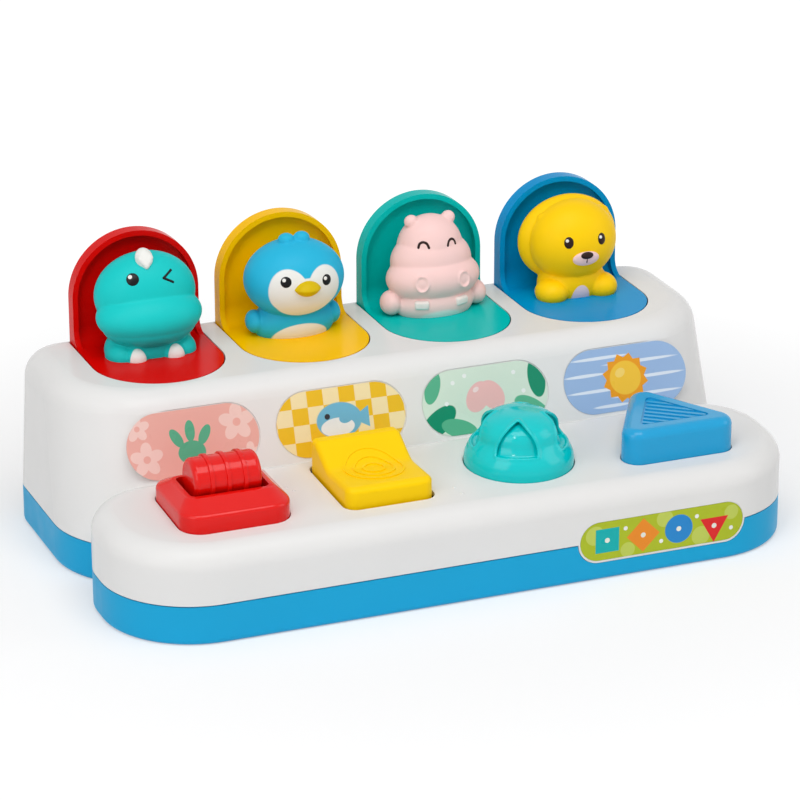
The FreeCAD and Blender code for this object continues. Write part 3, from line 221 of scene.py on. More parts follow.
def vinyl_body(name, parts, soften):
    """Blends overlapping forms into one soft moulding that stands flat on its seat."""
    body = join(parts, name)
    finish_with(body, "REMESH", mode="VOXEL", voxel_size=bpy.context.scene.toy_sizes.voxel)
    finish_with(body, "SMOOTH", factor=0.5, iterations=soften)
    cut_flat(body, SEAT_Z)
    smooth(body, 50)
    return body


def front_of(piece, x, z):
    """Front-most point of a piece at a place seen from the front, and the way it faces."""
    bpy.context.view_layer.update()
    hit, point, normal, _ = piece.ray_cast(Vector((x * MM, -1.0, z * MM)), Vector((0, 1, 0)))
    if not hit:
        raise RuntimeError("nothing of %s at %.1f, %.1f" % (piece.name, x, z))
    return point / MM, normal


def facing(normal):
    """Turn that lays a piece's own Z along a normal, with its Y as upright as it can be."""
    return normal.to_track_quat("Z", "Y").to_euler()


def stud(name, host, x, z, radii, sink=0.0):
    """Low dome on the front of a host, turned to its surface."""
    point, normal = front_of(host, x, z)
    piece = ball(point - normal * sink, radii, facing(normal))
    piece.name = name
    smooth(piece)
    return piece


def tube(places, half, closed=False):
    """Round bar through places given in millimetres."""
    deselect()
    bpy.ops.curve.primitive_nurbs_path_add(location=(0, 0, 0))
    path = bpy.context.object
    path.data.splines.clear()
    spline = path.data.splines.new("NURBS")
    spline.points.add(len(places) - 1)
    for point, place in zip(spline.points, places):
        point.co = (*(place * MM), 1.0)
    spline.order_u = 3
    spline.use_endpoint_u = not closed
    spline.use_cyclic_u = closed
    path.data.bevel_depth = half * MM
    path.data.bevel_resolution = 5
    path.data.use_fill_caps = True
    bpy.ops.object.convert(target="MESH")
    return bpy.context.object


def stroke(name, host, points, half, rise):
    """Raised line with round ends over the front of a host, through (x, z) points."""
    places = []
    for x, z in points:
        point, normal = front_of(host, x, z)
        places.append(point + normal * (rise - half))
    ends = [ball(place, (half, half, half), segments=24, rings=16)
            for place in (places[0], places[-1])]
    whole = join([tube(places, half)] + ends, name)
    finish_with(whole, "REMESH", mode="VOXEL", voxel_size=LINE_GRID * MM)
    finish_with(whole, "SMOOTH", factor=0.5, iterations=4)
    smooth(whole)
    return whole


# ---------------------------------------------------------------- finishes
def set_inputs(node, inputs):
    for name, value in inputs.items():
        node.inputs[name.replace("_", " ")].default_value = value
    return node


def add_node(tree, kind, **inputs):
    return set_inputs(tree.nodes.new(kind), inputs)


def vector_math(tree, operation, first, second=None):
    """Vector Math node; a vector or a socket may stand in the second place."""
    node = tree.nodes.new("ShaderNodeVectorMath")
    node.operation = operation
    tree.links.new(first, node.inputs[0])
    if isinstance(second, bpy.types.NodeSocket):
        tree.links.new(second, node.inputs[1])
    elif second is not None:
        node.inputs[1].default_value = second
    return node


def calculate(tree, operation, first, second=None, clamp=False):
    """Math node; a number or a socket may stand in each place."""
    node = tree.nodes.new("ShaderNodeMath")
    node.operation = operation
    node.use_clamp = clamp
    for socket, value in zip(node.inputs, (first, second)):
        if isinstance(value, bpy.types.NodeSocket):
            tree.links.new(value, socket)
        elif value is not None:
            socket.default_value = value
    return node.outputs[0]


def new_group(name, inputs, outputs):
    group = bpy.data.node_groups.new(name, "ShaderNodeTree")
    for label, kind, default in inputs:
        socket = group.interface.new_socket(name=label, in_out="INPUT", socket_type=kind)
        if default is not None:
            socket.default_value = default
    for label, kind in outputs:
        group.interface.new_socket(name=label, in_out="OUTPUT", socket_type=kind)
    return group, group.nodes.new("NodeGroupInput"), group.nodes.new("NodeGroupOutput")


def moulded_group():
    """Faint mottling, uneven gloss and fine grain of a moulded surface."""
    number, colour = "NodeSocketFloat", "NodeSocketColor"
    group, start, end = new_group(
        "Moulded surface",
        [("Colour", colour, (1, 1, 1, 1)), ("Mottle", number, 0.03), ("Gloss Low", number, 0.2),
         ("Gloss High", number, 0.3), ("Grain Scale", number, 900.0), ("Grain Depth", number, 0.1)],
        [("Colour", colour), ("Roughness", number), ("Normal", "NodeSocketVector")])
    links = group.links
    place = group.nodes.new("ShaderNodeTexCoord").outputs["Object"]
    cloud = add_node(group, "ShaderNodeTexNoise", Scale=38.0, Detail=3.0)
    links.new(place, cloud.inputs["Vector"])
    swing = calculate(group, "SUBTRACT", cloud.outputs["Fac"], 0.5)
    swing = calculate(group, "MULTIPLY", swing, start.outputs["Mottle"])
    level = calculate(group, "ADD", swing, 1.0)
    shade = vector_math(group, "SCALE", start.outputs["Colour"])
    links.new(level, shade.inputs["Scale"])
    links.new(shade.outputs[0], end.inputs["Colour"])
    patch = add_node(group, "ShaderNodeTexNoise", Scale=95.0, Detail=2.0)
    links.new(place, patch.inputs["Vector"])
    spread = add_node(group, "ShaderNodeMapRange", From_Min=0.3, From_Max=0.7)
    links.new(patch.outputs["Fac"], spread.inputs["Value"])
    links.new(start.outputs["Gloss Low"], spread.inputs["To Min"])
    links.new(start.outputs["Gloss High"], spread.inputs["To Max"])
    links.new(spread.outputs["Result"], end.inputs["Roughness"])
    grain = add_node(group, "ShaderNodeTexNoise", Detail=2.0)
    links.new(place, grain.inputs["Vector"])
    links.new(start.outputs["Grain Scale"], grain.inputs["Scale"])
    bump = add_node(group, "ShaderNodeBump", Distance=0.0001)
    links.new(grain.outputs["Fac"], bump.inputs["Height"])
    links.new(start.outputs["Grain Depth"], bump.inputs["Strength"])
    links.new(bump.outputs["Normal"], end.inputs["Normal"])
    return group


def send_mask(group, inside, start, end):
    """Turns a depth inside a shape into a mask with a narrow soft edge."""
    share = calculate(group, "DIVIDE", inside, start.outputs["Edge"])
    group.links.new(calculate(group, "ADD", share, 0.5, clamp=True), end.inputs["Mask"])


def oval_group():
    """Mask of a painted oval on the plane of the first two coordinates, in millimetres."""
    vector, number = "NodeSocketVector", "NodeSocketFloat"
    group, start, end = new_group(
        "Painted oval",
        [("Place", vector, None), ("Centre", vector, None), ("Radii", vector, (1, 1, 1)),
         ("Turn", vector, None), ("Edge", number, 0.04)],
        [("Mask", number)])
    local = group.nodes.new("ShaderNodeMapping")
    local.vector_type = "TEXTURE"
    for source, target in (("Place", "Vector"), ("Centre", "Location"), ("Turn", "Rotation"),
                           ("Radii", "Scale")):
        group.links.new(start.outputs[source], local.inputs[target])
    flat = vector_math(group, "MULTIPLY", local.outputs[0], (1, 1, 0))
    size = vector_math(group, "LENGTH", flat.outputs[0])
    inside = calculate(group, "SUBTRACT", 1.0, size.outputs["Value"])
    send_mask(group, inside, start, end)
    return group


def polygon_group():
    """Mask of a painted regular polygon on the same plane, in millimetres."""
    vector, number = "NodeSocketVector", "NodeSocketFloat"
    group, start, end = new_group(
        "Painted polygon",
        [("Place", vector, None), ("Centre", vector, None), ("Size", number, 1.0),
         ("Turn", number, 0.0), ("Sides", number, 4.0), ("Edge", number, 0.15)],
        [("Mask", number)])
    offset = vector_math(group, "SUBTRACT", start.outputs["Place"], start.outputs["Centre"])
    split = group.nodes.new("ShaderNodeSeparateXYZ")
    group.links.new(offset.outputs[0], split.inputs[0])
    angle = calculate(group, "ARCTAN2", split.outputs["Y"], split.outputs["X"])
    angle = calculate(group, "SUBTRACT", angle, start.outputs["Turn"])
    step = calculate(group, "DIVIDE", math.tau, start.outputs["Sides"])
    count = calculate(group, "DIVIDE", angle, step)
    nearest = calculate(group, "ROUND", count)
    away = calculate(group, "MULTIPLY", calculate(group, "SUBTRACT", count, nearest), step)
    flat = vector_math(group, "MULTIPLY", offset.outputs[0], (1, 1, 0))
    reach = vector_math(group, "LENGTH", flat.outputs[0]).outputs["Value"]
    depth = calculate(group, "MULTIPLY", reach, calculate(group, "COSINE", away))
    inside = calculate(group, "SUBTRACT", start.outputs["Size"], depth)
    send_mask(group, inside, start, end)
    return group


GROUPS = {}


def use_group(tree, name, **inputs):
    if name not in GROUPS:
        makers = {"Moulded surface": moulded_group, "Painted oval": oval_group,
                  "Painted polygon": polygon_group}
        GROUPS[name] = makers[name]()
    node = tree.nodes.new("ShaderNodeGroup")
    node.node_tree = GROUPS[name]
    return set_inputs(node, inputs)


class Finish:
    """A material whose colour is painted in layers over a moulded surface."""

    def __init__(self, name, colour):
        self.material = bpy.data.materials.new(name)
        self.material.use_nodes = True
        self.tree = self.material.node_tree
        self.shader = self.tree.nodes["Principled BSDF"]
        base = self.tree.nodes.new("ShaderNodeRGB")
        base.outputs[0].default_value = (*colour, 1.0)
        self.colour = base.outputs[0]
        self.place = None

    def look_at_front(self, centre_x, centre_z):
        """Layers are placed in millimetres as seen from the front, about a centre."""
        self.look_at_plane((centre_x, 0, centre_z), (math.radians(90), 0, 0))

    def look_at_plane(self, centre, turn):
        """Layers are placed in millimetres on a turned plane, about a centre."""
        where = self.tree.nodes.new("ShaderNodeTexCoord")
        local = add_node(self.tree, "ShaderNodeMapping", Location=metres(centre), Rotation=turn,
                         Scale=(MM, MM, MM))
        local.vector_type = "TEXTURE"
        self.tree.links.new(where.outputs["Object"], local.inputs["Vector"])
        self.place = local.outputs[0]

    def lay(self, colour, kind, **inputs):
        """Paints a colour where the mask of a shape is 1."""
        shape = use_group(self.tree, kind, **inputs)
        self.tree.links.new(self.place, shape.inputs["Place"])
        mix = self.tree.nodes.new("ShaderNodeMix")
        mix.data_type = "RGBA"
        self.tree.links.new(shape.outputs["Mask"], mix.inputs["Factor"])
        self.tree.links.new(self.colour, mix.inputs["A"])
        mix.inputs["B"].default_value = (*colour, 1.0)
        self.colour = mix.outputs["Result"]

    def oval(self, colour, centre, radii, turn=0.0, edge=0.05):
        self.lay(colour, "Painted oval", Centre=(*centre, 0), Radii=(*radii, 1),
                 Turn=(0, 0, math.radians(turn)), Edge=edge)

    def polygon(self, colour, centre, size, sides, turn=0.0):
        self.lay(colour, "Painted polygon", Centre=(*centre, 0), Size=size, Sides=sides,
                 Turn=math.radians(turn))

    def done(self, gloss, mottle=0.04, grain=900.0, depth=0.08, metal=0.0, specular=0.2):
        """Adds the moulded surface and returns the finished material."""
        surface = use_group(self.tree, "Moulded surface", Mottle=mottle, Gloss_Low=gloss[0],
                            Gloss_High=gloss[1], Grain_Scale=grain, Grain_Depth=depth)
        self.tree.links.new(self.colour, surface.inputs["Colour"])
        for output, target in (("Colour", "Base Color"), ("Roughness", "Roughness"),
                               ("Normal", "Normal")):
            self.tree.links.new(surface.outputs[output], self.shader.inputs[target])
        set_inputs(self.shader, {"Metallic": metal, "Specular IOR Level": specular})
        return self.material


def glossy_plastic(name, colour, specular=0.12):
    return Finish(name, colour).done((0.18, 0.26), mottle=0.03, depth=0.03, specular=specular)


def polished_plastic(name, colour):
    return Finish(name, colour).done((0.10, 0.15), mottle=0.02, depth=0.015, specular=0.28)


def satin_plastic(name, colour):
    return Finish(name, colour).done((0.34, 0.44), mottle=0.04, depth=0.08, specular=0.12)


def plated_steel():
    return Finish("Zinc plated steel", (0.60, 0.61, 0.63)).done((0.22, 0.36), mottle=0.12, metal=1.0,
                                                                specular=0.5)


def soft_vinyl(finish):
    return finish.done((0.44, 0.56), mottle=0.05, grain=1400.0, depth=0.14, specular=0.16)


def paint(name, colour):
    return Finish(name, colour).done((0.30, 0.38), mottle=0.02, depth=0.02)


def dress(piece, material):
    piece.data.materials.clear()
    piece.data.materials.append(material)


def dress_node(node, material):
    """Puts a finish in every material slot of a part of the frame."""
    for place in frame["nodes"][node].material_slots:
        place.material = material


def settle(piece, material, body, replaced=()):
    """Finishes a piece, ties it to its body, and hides the parts of the frame that it replaces."""
    dress(piece, material)
    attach(piece, body)
    if replaced:
        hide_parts(*replaced)


def settle_all(pieces, body):
    for piece, material in pieces:
        settle(piece, material, body)


# ---------------------------------------------------------------- animals
def placed(forms, x):
    """Ellipsoids of an animal, given about its own middle and above its seat."""
    parts = []
    for centre, radii in forms:
        parts.append(ball((centre[0] + x, centre[1], centre[2] + SEAT_Z), radii))
    return parts


def both_sides(centre, radii):
    x, y, z = centre
    return [((-x, y, z), radii), ((x, y, z), radii)]


def open_eye(host, name, x, z, radii, eye_paint, glint_paint):
    """Domed eye with a round glint up on its left."""
    eye = stud(name, host, x, z, (radii[0], radii[1], 0.9), 0.35)
    glint = stud(name + "_glint", eye, x - 0.34 * radii[0], z + 0.38 * radii[1],
                 (0.33 * radii[0], 0.33 * radii[0], 0.25), 0.02)
    return [(eye, eye_paint), (glint, glint_paint)]


def leaf_arc(centre, half_width, rise, count=7):
    """Points of a closed smiling eye, as an arch."""
    points = []
    for index in range(count):
        angle = math.pi * index / (count - 1)
        points.append((centre[0] - half_width * math.cos(angle), centre[1] + rise * math.sin(angle)))
    return points


class MakeDinosaur(bpy.types.Operator):
    """Dinosaur with a wide muzzle, white crest and toes, one open eye and a wink"""
    bl_idname = "toy.make_dinosaur"
    bl_label = "Dinosaur"

    def execute(self, context):
        colours = context.scene.toy_colours
        forms = [((0, 56.0, 26.6), (23.6, 15.5, 19.4)), ((0, 50.5, 18.2), (24.6, 17.0, 12.8)),
                 ((0, 50.5, 14.0), (22.0, 15.5, 10.6)), ((0, 53.0, 2.0), (20.6, 12.0, 13.0))]
        forms += both_sides((14.2, 49.5, 0.5), (7.0, 8.4, 7.0))
        forms += both_sides((9.0, 43.6, 0.6), (5.4, 5.6, 5.2))
        body = vinyl_body("dinosaur_body", placed(forms, RED), 2)
        finish = Finish("Dinosaur vinyl", colours.dinosaur)
        finish.look_at_front(RED, SEAT_Z)
        for side in (-1, 1):
            finish.oval(colours.cream, (side * 9.0, 0.2), (3.9, 5.4))
        crest = self.crest()
        eye = open_eye(body, "dinosaur_eye", RED - 9.1, SEAT_Z + 37.6, (2.95, 2.95),
                       paint("Dinosaur eye", colours.black), paint("Dinosaur glint", colours.cream))
        half = context.scene.toy_sizes.stroke / MM
        tip, middle = RED + 5.0, SEAT_Z + 36.9
        wink = [stroke("dinosaur_wink_%d" % (index + 1), body,
                       [(tip + 2.2 * step, middle + way * step) for step in range(3)], half, 0.35)
                for index, way in enumerate((1.2, -1.2))]
        settle(body, soft_vinyl(finish), "pop_up_red", ("dinosaur_figure",))
        settle(crest, soft_vinyl(Finish("Crest vinyl", colours.cream)), "pop_up_red")
        settle_all(eye, "pop_up_red")
        settle_all([(line, eye[0][1]) for line in wink], "pop_up_red")
        return {"FINISHED"}

    def crest(self):
        """White plate with a round top and a pointed foot, that leans back against the head."""
        centre = Vector((RED - 1.8, 49.6, SEAT_Z + 44.4))
        lean = (math.radians(-38), 0, 0)
        deselect()
        bpy.ops.mesh.primitive_cube_add(size=1.0, location=(0, 0, 0))
        plate = bpy.context.object
        plate.rotation_euler = (0, math.radians(45), 0)
        plate.scale = metres((6.0, 6.6, 6.0))
        bpy.ops.object.transform_apply(location=False, rotation=True, scale=True)
        plate.scale = (1.0, 1.0, 1.35)
        plate.rotation_euler = lean
        plate.location = centre * MM
        bpy.ops.object.transform_apply(location=True, rotation=True, scale=True)
        finish_with(plate, "BEVEL", width=1.5 * MM, segments=5, affect="EDGES")
        round_top = ball(centre + Vector((0, 0.5, 0.7)), (4.1, 3.2, 4.9), lean)
        plate = join([plate, round_top], "dinosaur_crest")
        finish_with(plate, "REMESH", mode="VOXEL", voxel_size=CREST_GRID * MM)
        finish_with(plate, "SMOOTH", factor=0.5, iterations=24)
        smooth(plate)
        return plate


class MakePenguin(bpy.types.Operator):
    """Penguin with a white two-lobed face and belly, a tuft, wings and a gold beak"""
    bl_idname = "toy.make_penguin"
    bl_label = "Penguin"

    def execute(self, context):
        colours = context.scene.toy_colours
        forms = [((0, 51.5, 26.3), (23.6, 18.8, 18.2)), ((0, 53.0, 5.0), (19.6, 12.4, 12.0))]
        forms += both_sides((18.6, 53.5, 6.4), (4.2, 6.0, 5.4))
        forms += both_sides((3.7, 51.0, 44.6), (3.9, 3.4, 3.2))
        body = vinyl_body("penguin_body", placed(forms, YELLOW), 3)
        finish = Finish("Penguin vinyl", colours.penguin)
        finish.look_at_front(YELLOW, SEAT_Z)
        for side in (-1, 1):
            finish.oval(colours.cream, (side * 8.4, 25.4), (8.6, 10.2))
        finish.oval(colours.cream, (0, 21.2), (14.4, 10.0))
        finish.oval(colours.cream, (0, -0.5), (13.5, 7.4))
        eyes = []
        black, glint = paint("Penguin eye", colours.black), paint("Penguin glint", colours.cream)
        for side, name, height in ((-1, "left", 30.2), (1, "right", 29.0)):
            eyes += open_eye(body, "penguin_eye_" + name, YELLOW + side * 9.8, SEAT_Z + height,
                             (2.6, 2.6), black, glint)
        settle(body, soft_vinyl(finish), "pop_up_yellow", ("penguin_figure",))
        settle_all(eyes, "pop_up_yellow")
        settle(self.beak(body), soft_vinyl(Finish("Beak vinyl", colours.beak)), "pop_up_yellow")
        return {"FINISHED"}

    def beak(self, host):
        """Two overlapping balls leave a beak that is pointed at both sides."""
        point, _ = front_of(host, YELLOW, SEAT_Z + 26.4)
        parts = []
        for side in (-1, 1):
            centre = (YELLOW, point.y + 1.0, SEAT_Z + 26.4 + side * 3.4)
            parts.append(ball(centre, (7.2, 5.8, 7.2), segments=96, rings=64))
        upper, lower = parts
        finish_with(upper, "BOOLEAN", operation="INTERSECT", object=lower, solver="EXACT")
        bpy.data.objects.remove(lower)
        upper.name = "penguin_beak"
        finish_with(upper, "REMESH", mode="VOXEL", voxel_size=BEAK_GRID * MM)
        finish_with(upper, "SMOOTH", factor=0.5, iterations=3)
        smooth(upper)
        return upper


class MakeHippo(bpy.types.Operator):
    """Hippo with small ears, smiling eyes, ring nostrils and two teeth"""
    bl_idname = "toy.make_hippo"
    bl_label = "Hippo"

    def execute(self, context):
        colours = context.scene.toy_colours
        forms = [((0, 59.0, 29.0), (15.8, 13.0, 16.0)), ((0, 57.5, 23.5), (19.6, 13.8, 14.5)),
                 ((0, 54.0, 4.5), (19.5, 12.4, 10.5))]
        forms += both_sides((21.0, 54.5, 6.0), (5.2, 6.0, 5.8))
        forms += both_sides((9.2, 59.0, 42.6), (3.3, 3.0, 3.2))
        parts = placed(forms, TEAL)
        muzzle = ball((TEAL, 55.0, SEAT_Z + 16.5), (22.8, 14.8, 12.2))
        for side in (-1, 1):
            point, normal = front_of(muzzle, TEAL + side * 10.5, SEAT_Z + 17.5)
            parts.append(ring(point, 3.3, 0.55, (0.9, 1.1, 0.8), facing(normal)))
        parts.append(muzzle)
        body = vinyl_body("hippo_body", parts, 4)
        finish = Finish("Hippo vinyl", colours.hippo)
        finish.look_at_front(TEAL, SEAT_Z)
        finish.oval(colours.cream, (0, -0.8), (10.5, 4.2), edge=0.3)
        half = context.scene.toy_sizes.stroke / MM
        brown = paint("Hippo eye", colours.brown)
        eyes = []
        for side, name in ((-7.3, "left"), (6.5, "right")):
            arch = leaf_arc((TEAL + side, SEAT_Z + 33.0), 2.2, 2.6)
            eyes.append((stroke("hippo_eye_" + name, body, arch, half, 0.35), brown))
        settle(body, soft_vinyl(finish), "pop_up_teal", ("hippo_figure",))
        settle_all(eyes, "pop_up_teal")
        ivory = soft_vinyl(Finish("Tooth vinyl", (0.88, 0.78, 0.74)))
        settle_all([(self.tooth(side), ivory) for side in (-1, 1)], "pop_up_teal")
        return {"FINISHED"}

    def tooth(self, side):
        deselect()
        bpy.ops.mesh.primitive_cube_add(size=1.0, location=metres((TEAL + side * 9.6, 44.6,
                                                                   SEAT_Z + 6.6)))
        tooth = bpy.context.object
        tooth.scale = metres((6.8, 4.4, 4.0))
        tooth.rotation_euler = (0, 0, math.radians(side * 22))
        bpy.ops.object.transform_apply(location=True, rotation=True, scale=True)
        finish_with(tooth, "BEVEL", width=1.1 * MM, segments=5, affect="EDGES")
        tooth.name = "hippo_tooth_" + ("left" if side < 0 else "right")
        smooth(tooth, 40)
        return tooth


class MakeLion(bpy.types.Operator):
    """Lion with a round mane, ring ears, a pale muzzle and a dark nose"""
    bl_idname = "toy.make_lion"
    bl_label = "Lion"

    def execute(self, context):
        colours = context.scene.toy_colours
        forms = [((0, 53.0, 25.8), (21.4, 16.5, 19.4)), ((0, 53.5, 5.0), (17.0, 12.0, 12.0))]
        forms += both_sides((12.6, 47.8, 3.0), (7.8, 8.6, 6.4))
        parts = placed(forms, BLUE)
        mane = ball((BLUE, 59.5, SEAT_Z + 25.0), (24.8, 10.5, 21.0))
        for side in (-13.4, 15.4):
            point, normal = front_of(mane, BLUE + side, SEAT_Z + 37.0)
            parts.append(ring(point, 2.6, 1.4, (1.1, 0.9, 1.0), facing(normal)))
        parts.append(mane)
        body = vinyl_body("lion_body", parts, 3)
        finish = Finish("Lion vinyl", colours.lion)
        finish.look_at_front(BLUE, SEAT_Z)
        finish.oval((0.86, 0.66, 0.68), (0, -0.5), (4.6, 7.0))
        brown, glint = paint("Lion eye", colours.brown), paint("Lion glint", colours.cream)
        face = []
        for side, name in ((-1, "left"), (1, "right")):
            face += open_eye(body, "lion_eye_" + name, BLUE + side * 8.4, SEAT_Z + 29.6, (2.35, 2.85),
                             brown, glint)
        muzzle = stud("lion_muzzle", body, BLUE, SEAT_Z + 21.2, (6.6, 3.7, 1.6), 0.3)
        nose = stud("lion_nose", muzzle, BLUE, SEAT_Z + 23.2, (3.1, 1.7, 1.0), 0.2)
        lip = stroke("lion_lip", muzzle, ((BLUE, SEAT_Z + 21.2), (BLUE, SEAT_Z + 20.4),
                                          (BLUE, SEAT_Z + 19.6)), 0.3, 0.2)
        pale = soft_vinyl(Finish("Lion muzzle", (0.88, 0.62, 0.60)))
        settle(body, soft_vinyl(finish), "pop_up_blue", ("lion_figure",))
        settle_all(face + [(muzzle, pale), (nose, brown), (lip, brown)], "pop_up_blue")
        return {"FINISHED"}


# ---------------------------------------------------------------- knob
FLANGE_OUT = 1.7
KNOB_WALL = 2.2
KNOB_R = (KNOB_HIGH.x - KNOB_LOW.x) / 2 / MM - FLANGE_OUT
KNOB_FOOT = KNOB_LOW.z / MM
KNOB_TOP = KNOB_HIGH.z / MM
KNOB_BELL = ((KNOB_R, 47.5), (24.3, 50.0), (23.1, 52.6), (20.9, 55.6), (19.6, 57.8), (19.1, 60.2),
             (18.0, 63.0), (15.2, 66.2), (10.2, 68.6), (5.0, 69.5), (0.0, KNOB_TOP))
KNOB_TURNED = math.radians(-26)
BOSS_R = 5.0
BOSS_LIFT = 3.0
FLANGE_T = 2.2
FLANGE_ROUND = 0.2
ARCH_Z = 54.0
ARCH_HALF = 9.7
ARCH_RISE = 14.6
ARCH_SUNK = 2.3


class MakeKnob(bpy.types.Operator):
    """Turning knob: a bell over a flange, with four pointed arches sunk into it"""
    bl_idname = "toy.make_knob"
    bl_label = "Knob"

    def execute(self, context):
        half = context.scene.toy_sizes.lip / MM
        outline = self.bell(0)
        ledge = ARCH_Z - KNOB_WALL
        boss_foot, flange_top = KNOB_FOOT + BOSS_LIFT, KNOB_FOOT + FLANGE_T
        knob = self.lathe([(0, boss_foot), (BOSS_R, boss_foot), (BOSS_R, ledge),
                           (KNOB_R - KNOB_WALL, ledge), (KNOB_R - KNOB_WALL, KNOB_FOOT),
                           (KNOB_R + FLANGE_OUT, KNOB_FOOT), (KNOB_R + FLANGE_OUT, flange_top),
                           (KNOB_R, flange_top + FLANGE_ROUND)] + outline)
        sunk = self.bell(ARCH_SUNK)
        parts = [knob, self.lathe([(0, ledge), (sunk[0][0], ledge)] + sunk)]
        for quarter in range(4):
            turn = KNOB_TURNED + quarter * math.pi / 2
            self.cut_arch(knob, turn)
            parts.append(self.lip(outline, half, turn))
        knob = join(parts, "knob_cap")
        finish_with(knob, "REMESH", mode="VOXEL", voxel_size=KNOB_GRID * MM)
        finish_with(knob, "SMOOTH", factor=0.5, iterations=3)
        smooth(knob)
        settle(knob, polished_plastic("Knob plastic", context.scene.toy_colours.knob), "knob",
               ("twist_knob",))
        return {"FINISHED"}

    def bell(self, inset):
        """Smooth outline of the bell as (radius, height), drawn in by an even wall."""
        ends = [KNOB_BELL[0], *KNOB_BELL, KNOB_BELL[-1]]
        points = []
        for before, here, after in zip(ends, ends[1:], ends[2:]):
            outward = Vector((after[1] - before[1], before[0] - after[0])).normalized()
            points.append(Vector((max(here[0] - outward.x * inset, 0), here[1] - outward.y * inset)))
        points = [points[0], *points, points[-1]]
        outline = []
        for before, first, last, after in zip(points, points[1:], points[2:], points[3:]):
            bend = interpolate_bezier(first, first + (last - before) / 6, last - (after - first) / 6,
                                      last, 8)
            outline += [tuple(place) for place in bend[:-1]]
        return outline + [(0, points[-1].y)]

    def lathe(self, profile):
        turned = edit_outline([(radius, 0, height) for radius, height in profile])
        bpy.ops.mesh.spin(steps=128, angle=math.tau, center=(0, 0, 0), axis=(0, 0, 1))
        bpy.ops.mesh.select_all(action="SELECT")
        bpy.ops.mesh.remove_doubles(threshold=0.02 * MM)
        end_edit()
        self.place(turned, 0)
        return turned

    def place(self, piece, turn):
        pick(piece)
        piece.rotation_euler = (0, 0, turn)
        piece.location = metres((TEAL, KNOB_Y, 0))
        bpy.ops.object.transform_apply(location=True, rotation=True, scale=True)

    def arch(self, count=16):
        """Pointed arch as (sideways, height), over the tip from one foot to the other."""
        radius = (ARCH_RISE ** 2 + ARCH_HALF ** 2) / ARCH_HALF / 2
        bend = math.asin(ARCH_RISE / radius)
        side = [(ARCH_HALF - radius + radius * math.cos(bend * index / count),
                 ARCH_Z + radius * math.sin(bend * index / count)) for index in range(count + 1)]
        return [(-across, height) for across, height in side] + side[-2::-1]

    def cut_arch(self, knob, turn):
        cutter = edit_outline([(across, 0, height) for across, height in self.arch()],
                              fill_type="NGON")
        bpy.ops.mesh.extrude_region_move(TRANSFORM_OT_translate={"value": (0, -2 * KNOB_R * MM, 0)})
        end_edit()
        self.place(cutter, turn)
        finish_with(knob, "BOOLEAN", operation="DIFFERENCE", object=cutter, solver="EXACT")
        bpy.data.objects.remove(cutter)

    def lip(self, outline, half, turn):
        """Rounded edge that stands up a little around one arch."""
        foot = [(ARCH_HALF * (1 - index / 6), ARCH_Z) for index in range(1, 12)]
        places = []
        for across, height in self.arch() + foot:
            radius = self.radius_at(outline, height) - 0.5 * half
            places.append(Vector((across, -math.sqrt(radius ** 2 - across ** 2), height)))
        lip = tube(places, half, closed=True)
        self.place(lip, turn)
        return lip

    def radius_at(self, outline, height):
        for (wide, low), (narrow, high) in zip(outline, outline[1:]):
            if low <= height <= high:
                return wide + (narrow - wide) * (height - low) / (high - low)
        raise ValueError("the bell has no point at %.1f" % height)


# ---------------------------------------------------------------- prints
def sticker_finish(colour_name, index, colour):
    low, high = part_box("sticker_" + colour_name)
    centre = (low + high) / 2 / MM
    finish = Finish("Sticker " + colour_name, colour)
    finish.look_at_plane((LANES[index], centre.y, centre.z), (STICKER_TILT, 0, 0))
    return finish


def printed(finish):
    return finish.done((0.26, 0.34), mottle=0.02, depth=0.03)


def petals(finish, colour, heart, centre, size):
    for index in range(5):
        angle = math.radians(72 * index + 18)
        spot = (centre[0] + size * math.cos(angle), centre[1] + size * math.sin(angle))
        finish.oval(colour, spot, (0.85 * size, 0.62 * size), math.degrees(angle))
    finish.oval(heart, centre, (0.4 * size, 0.4 * size))


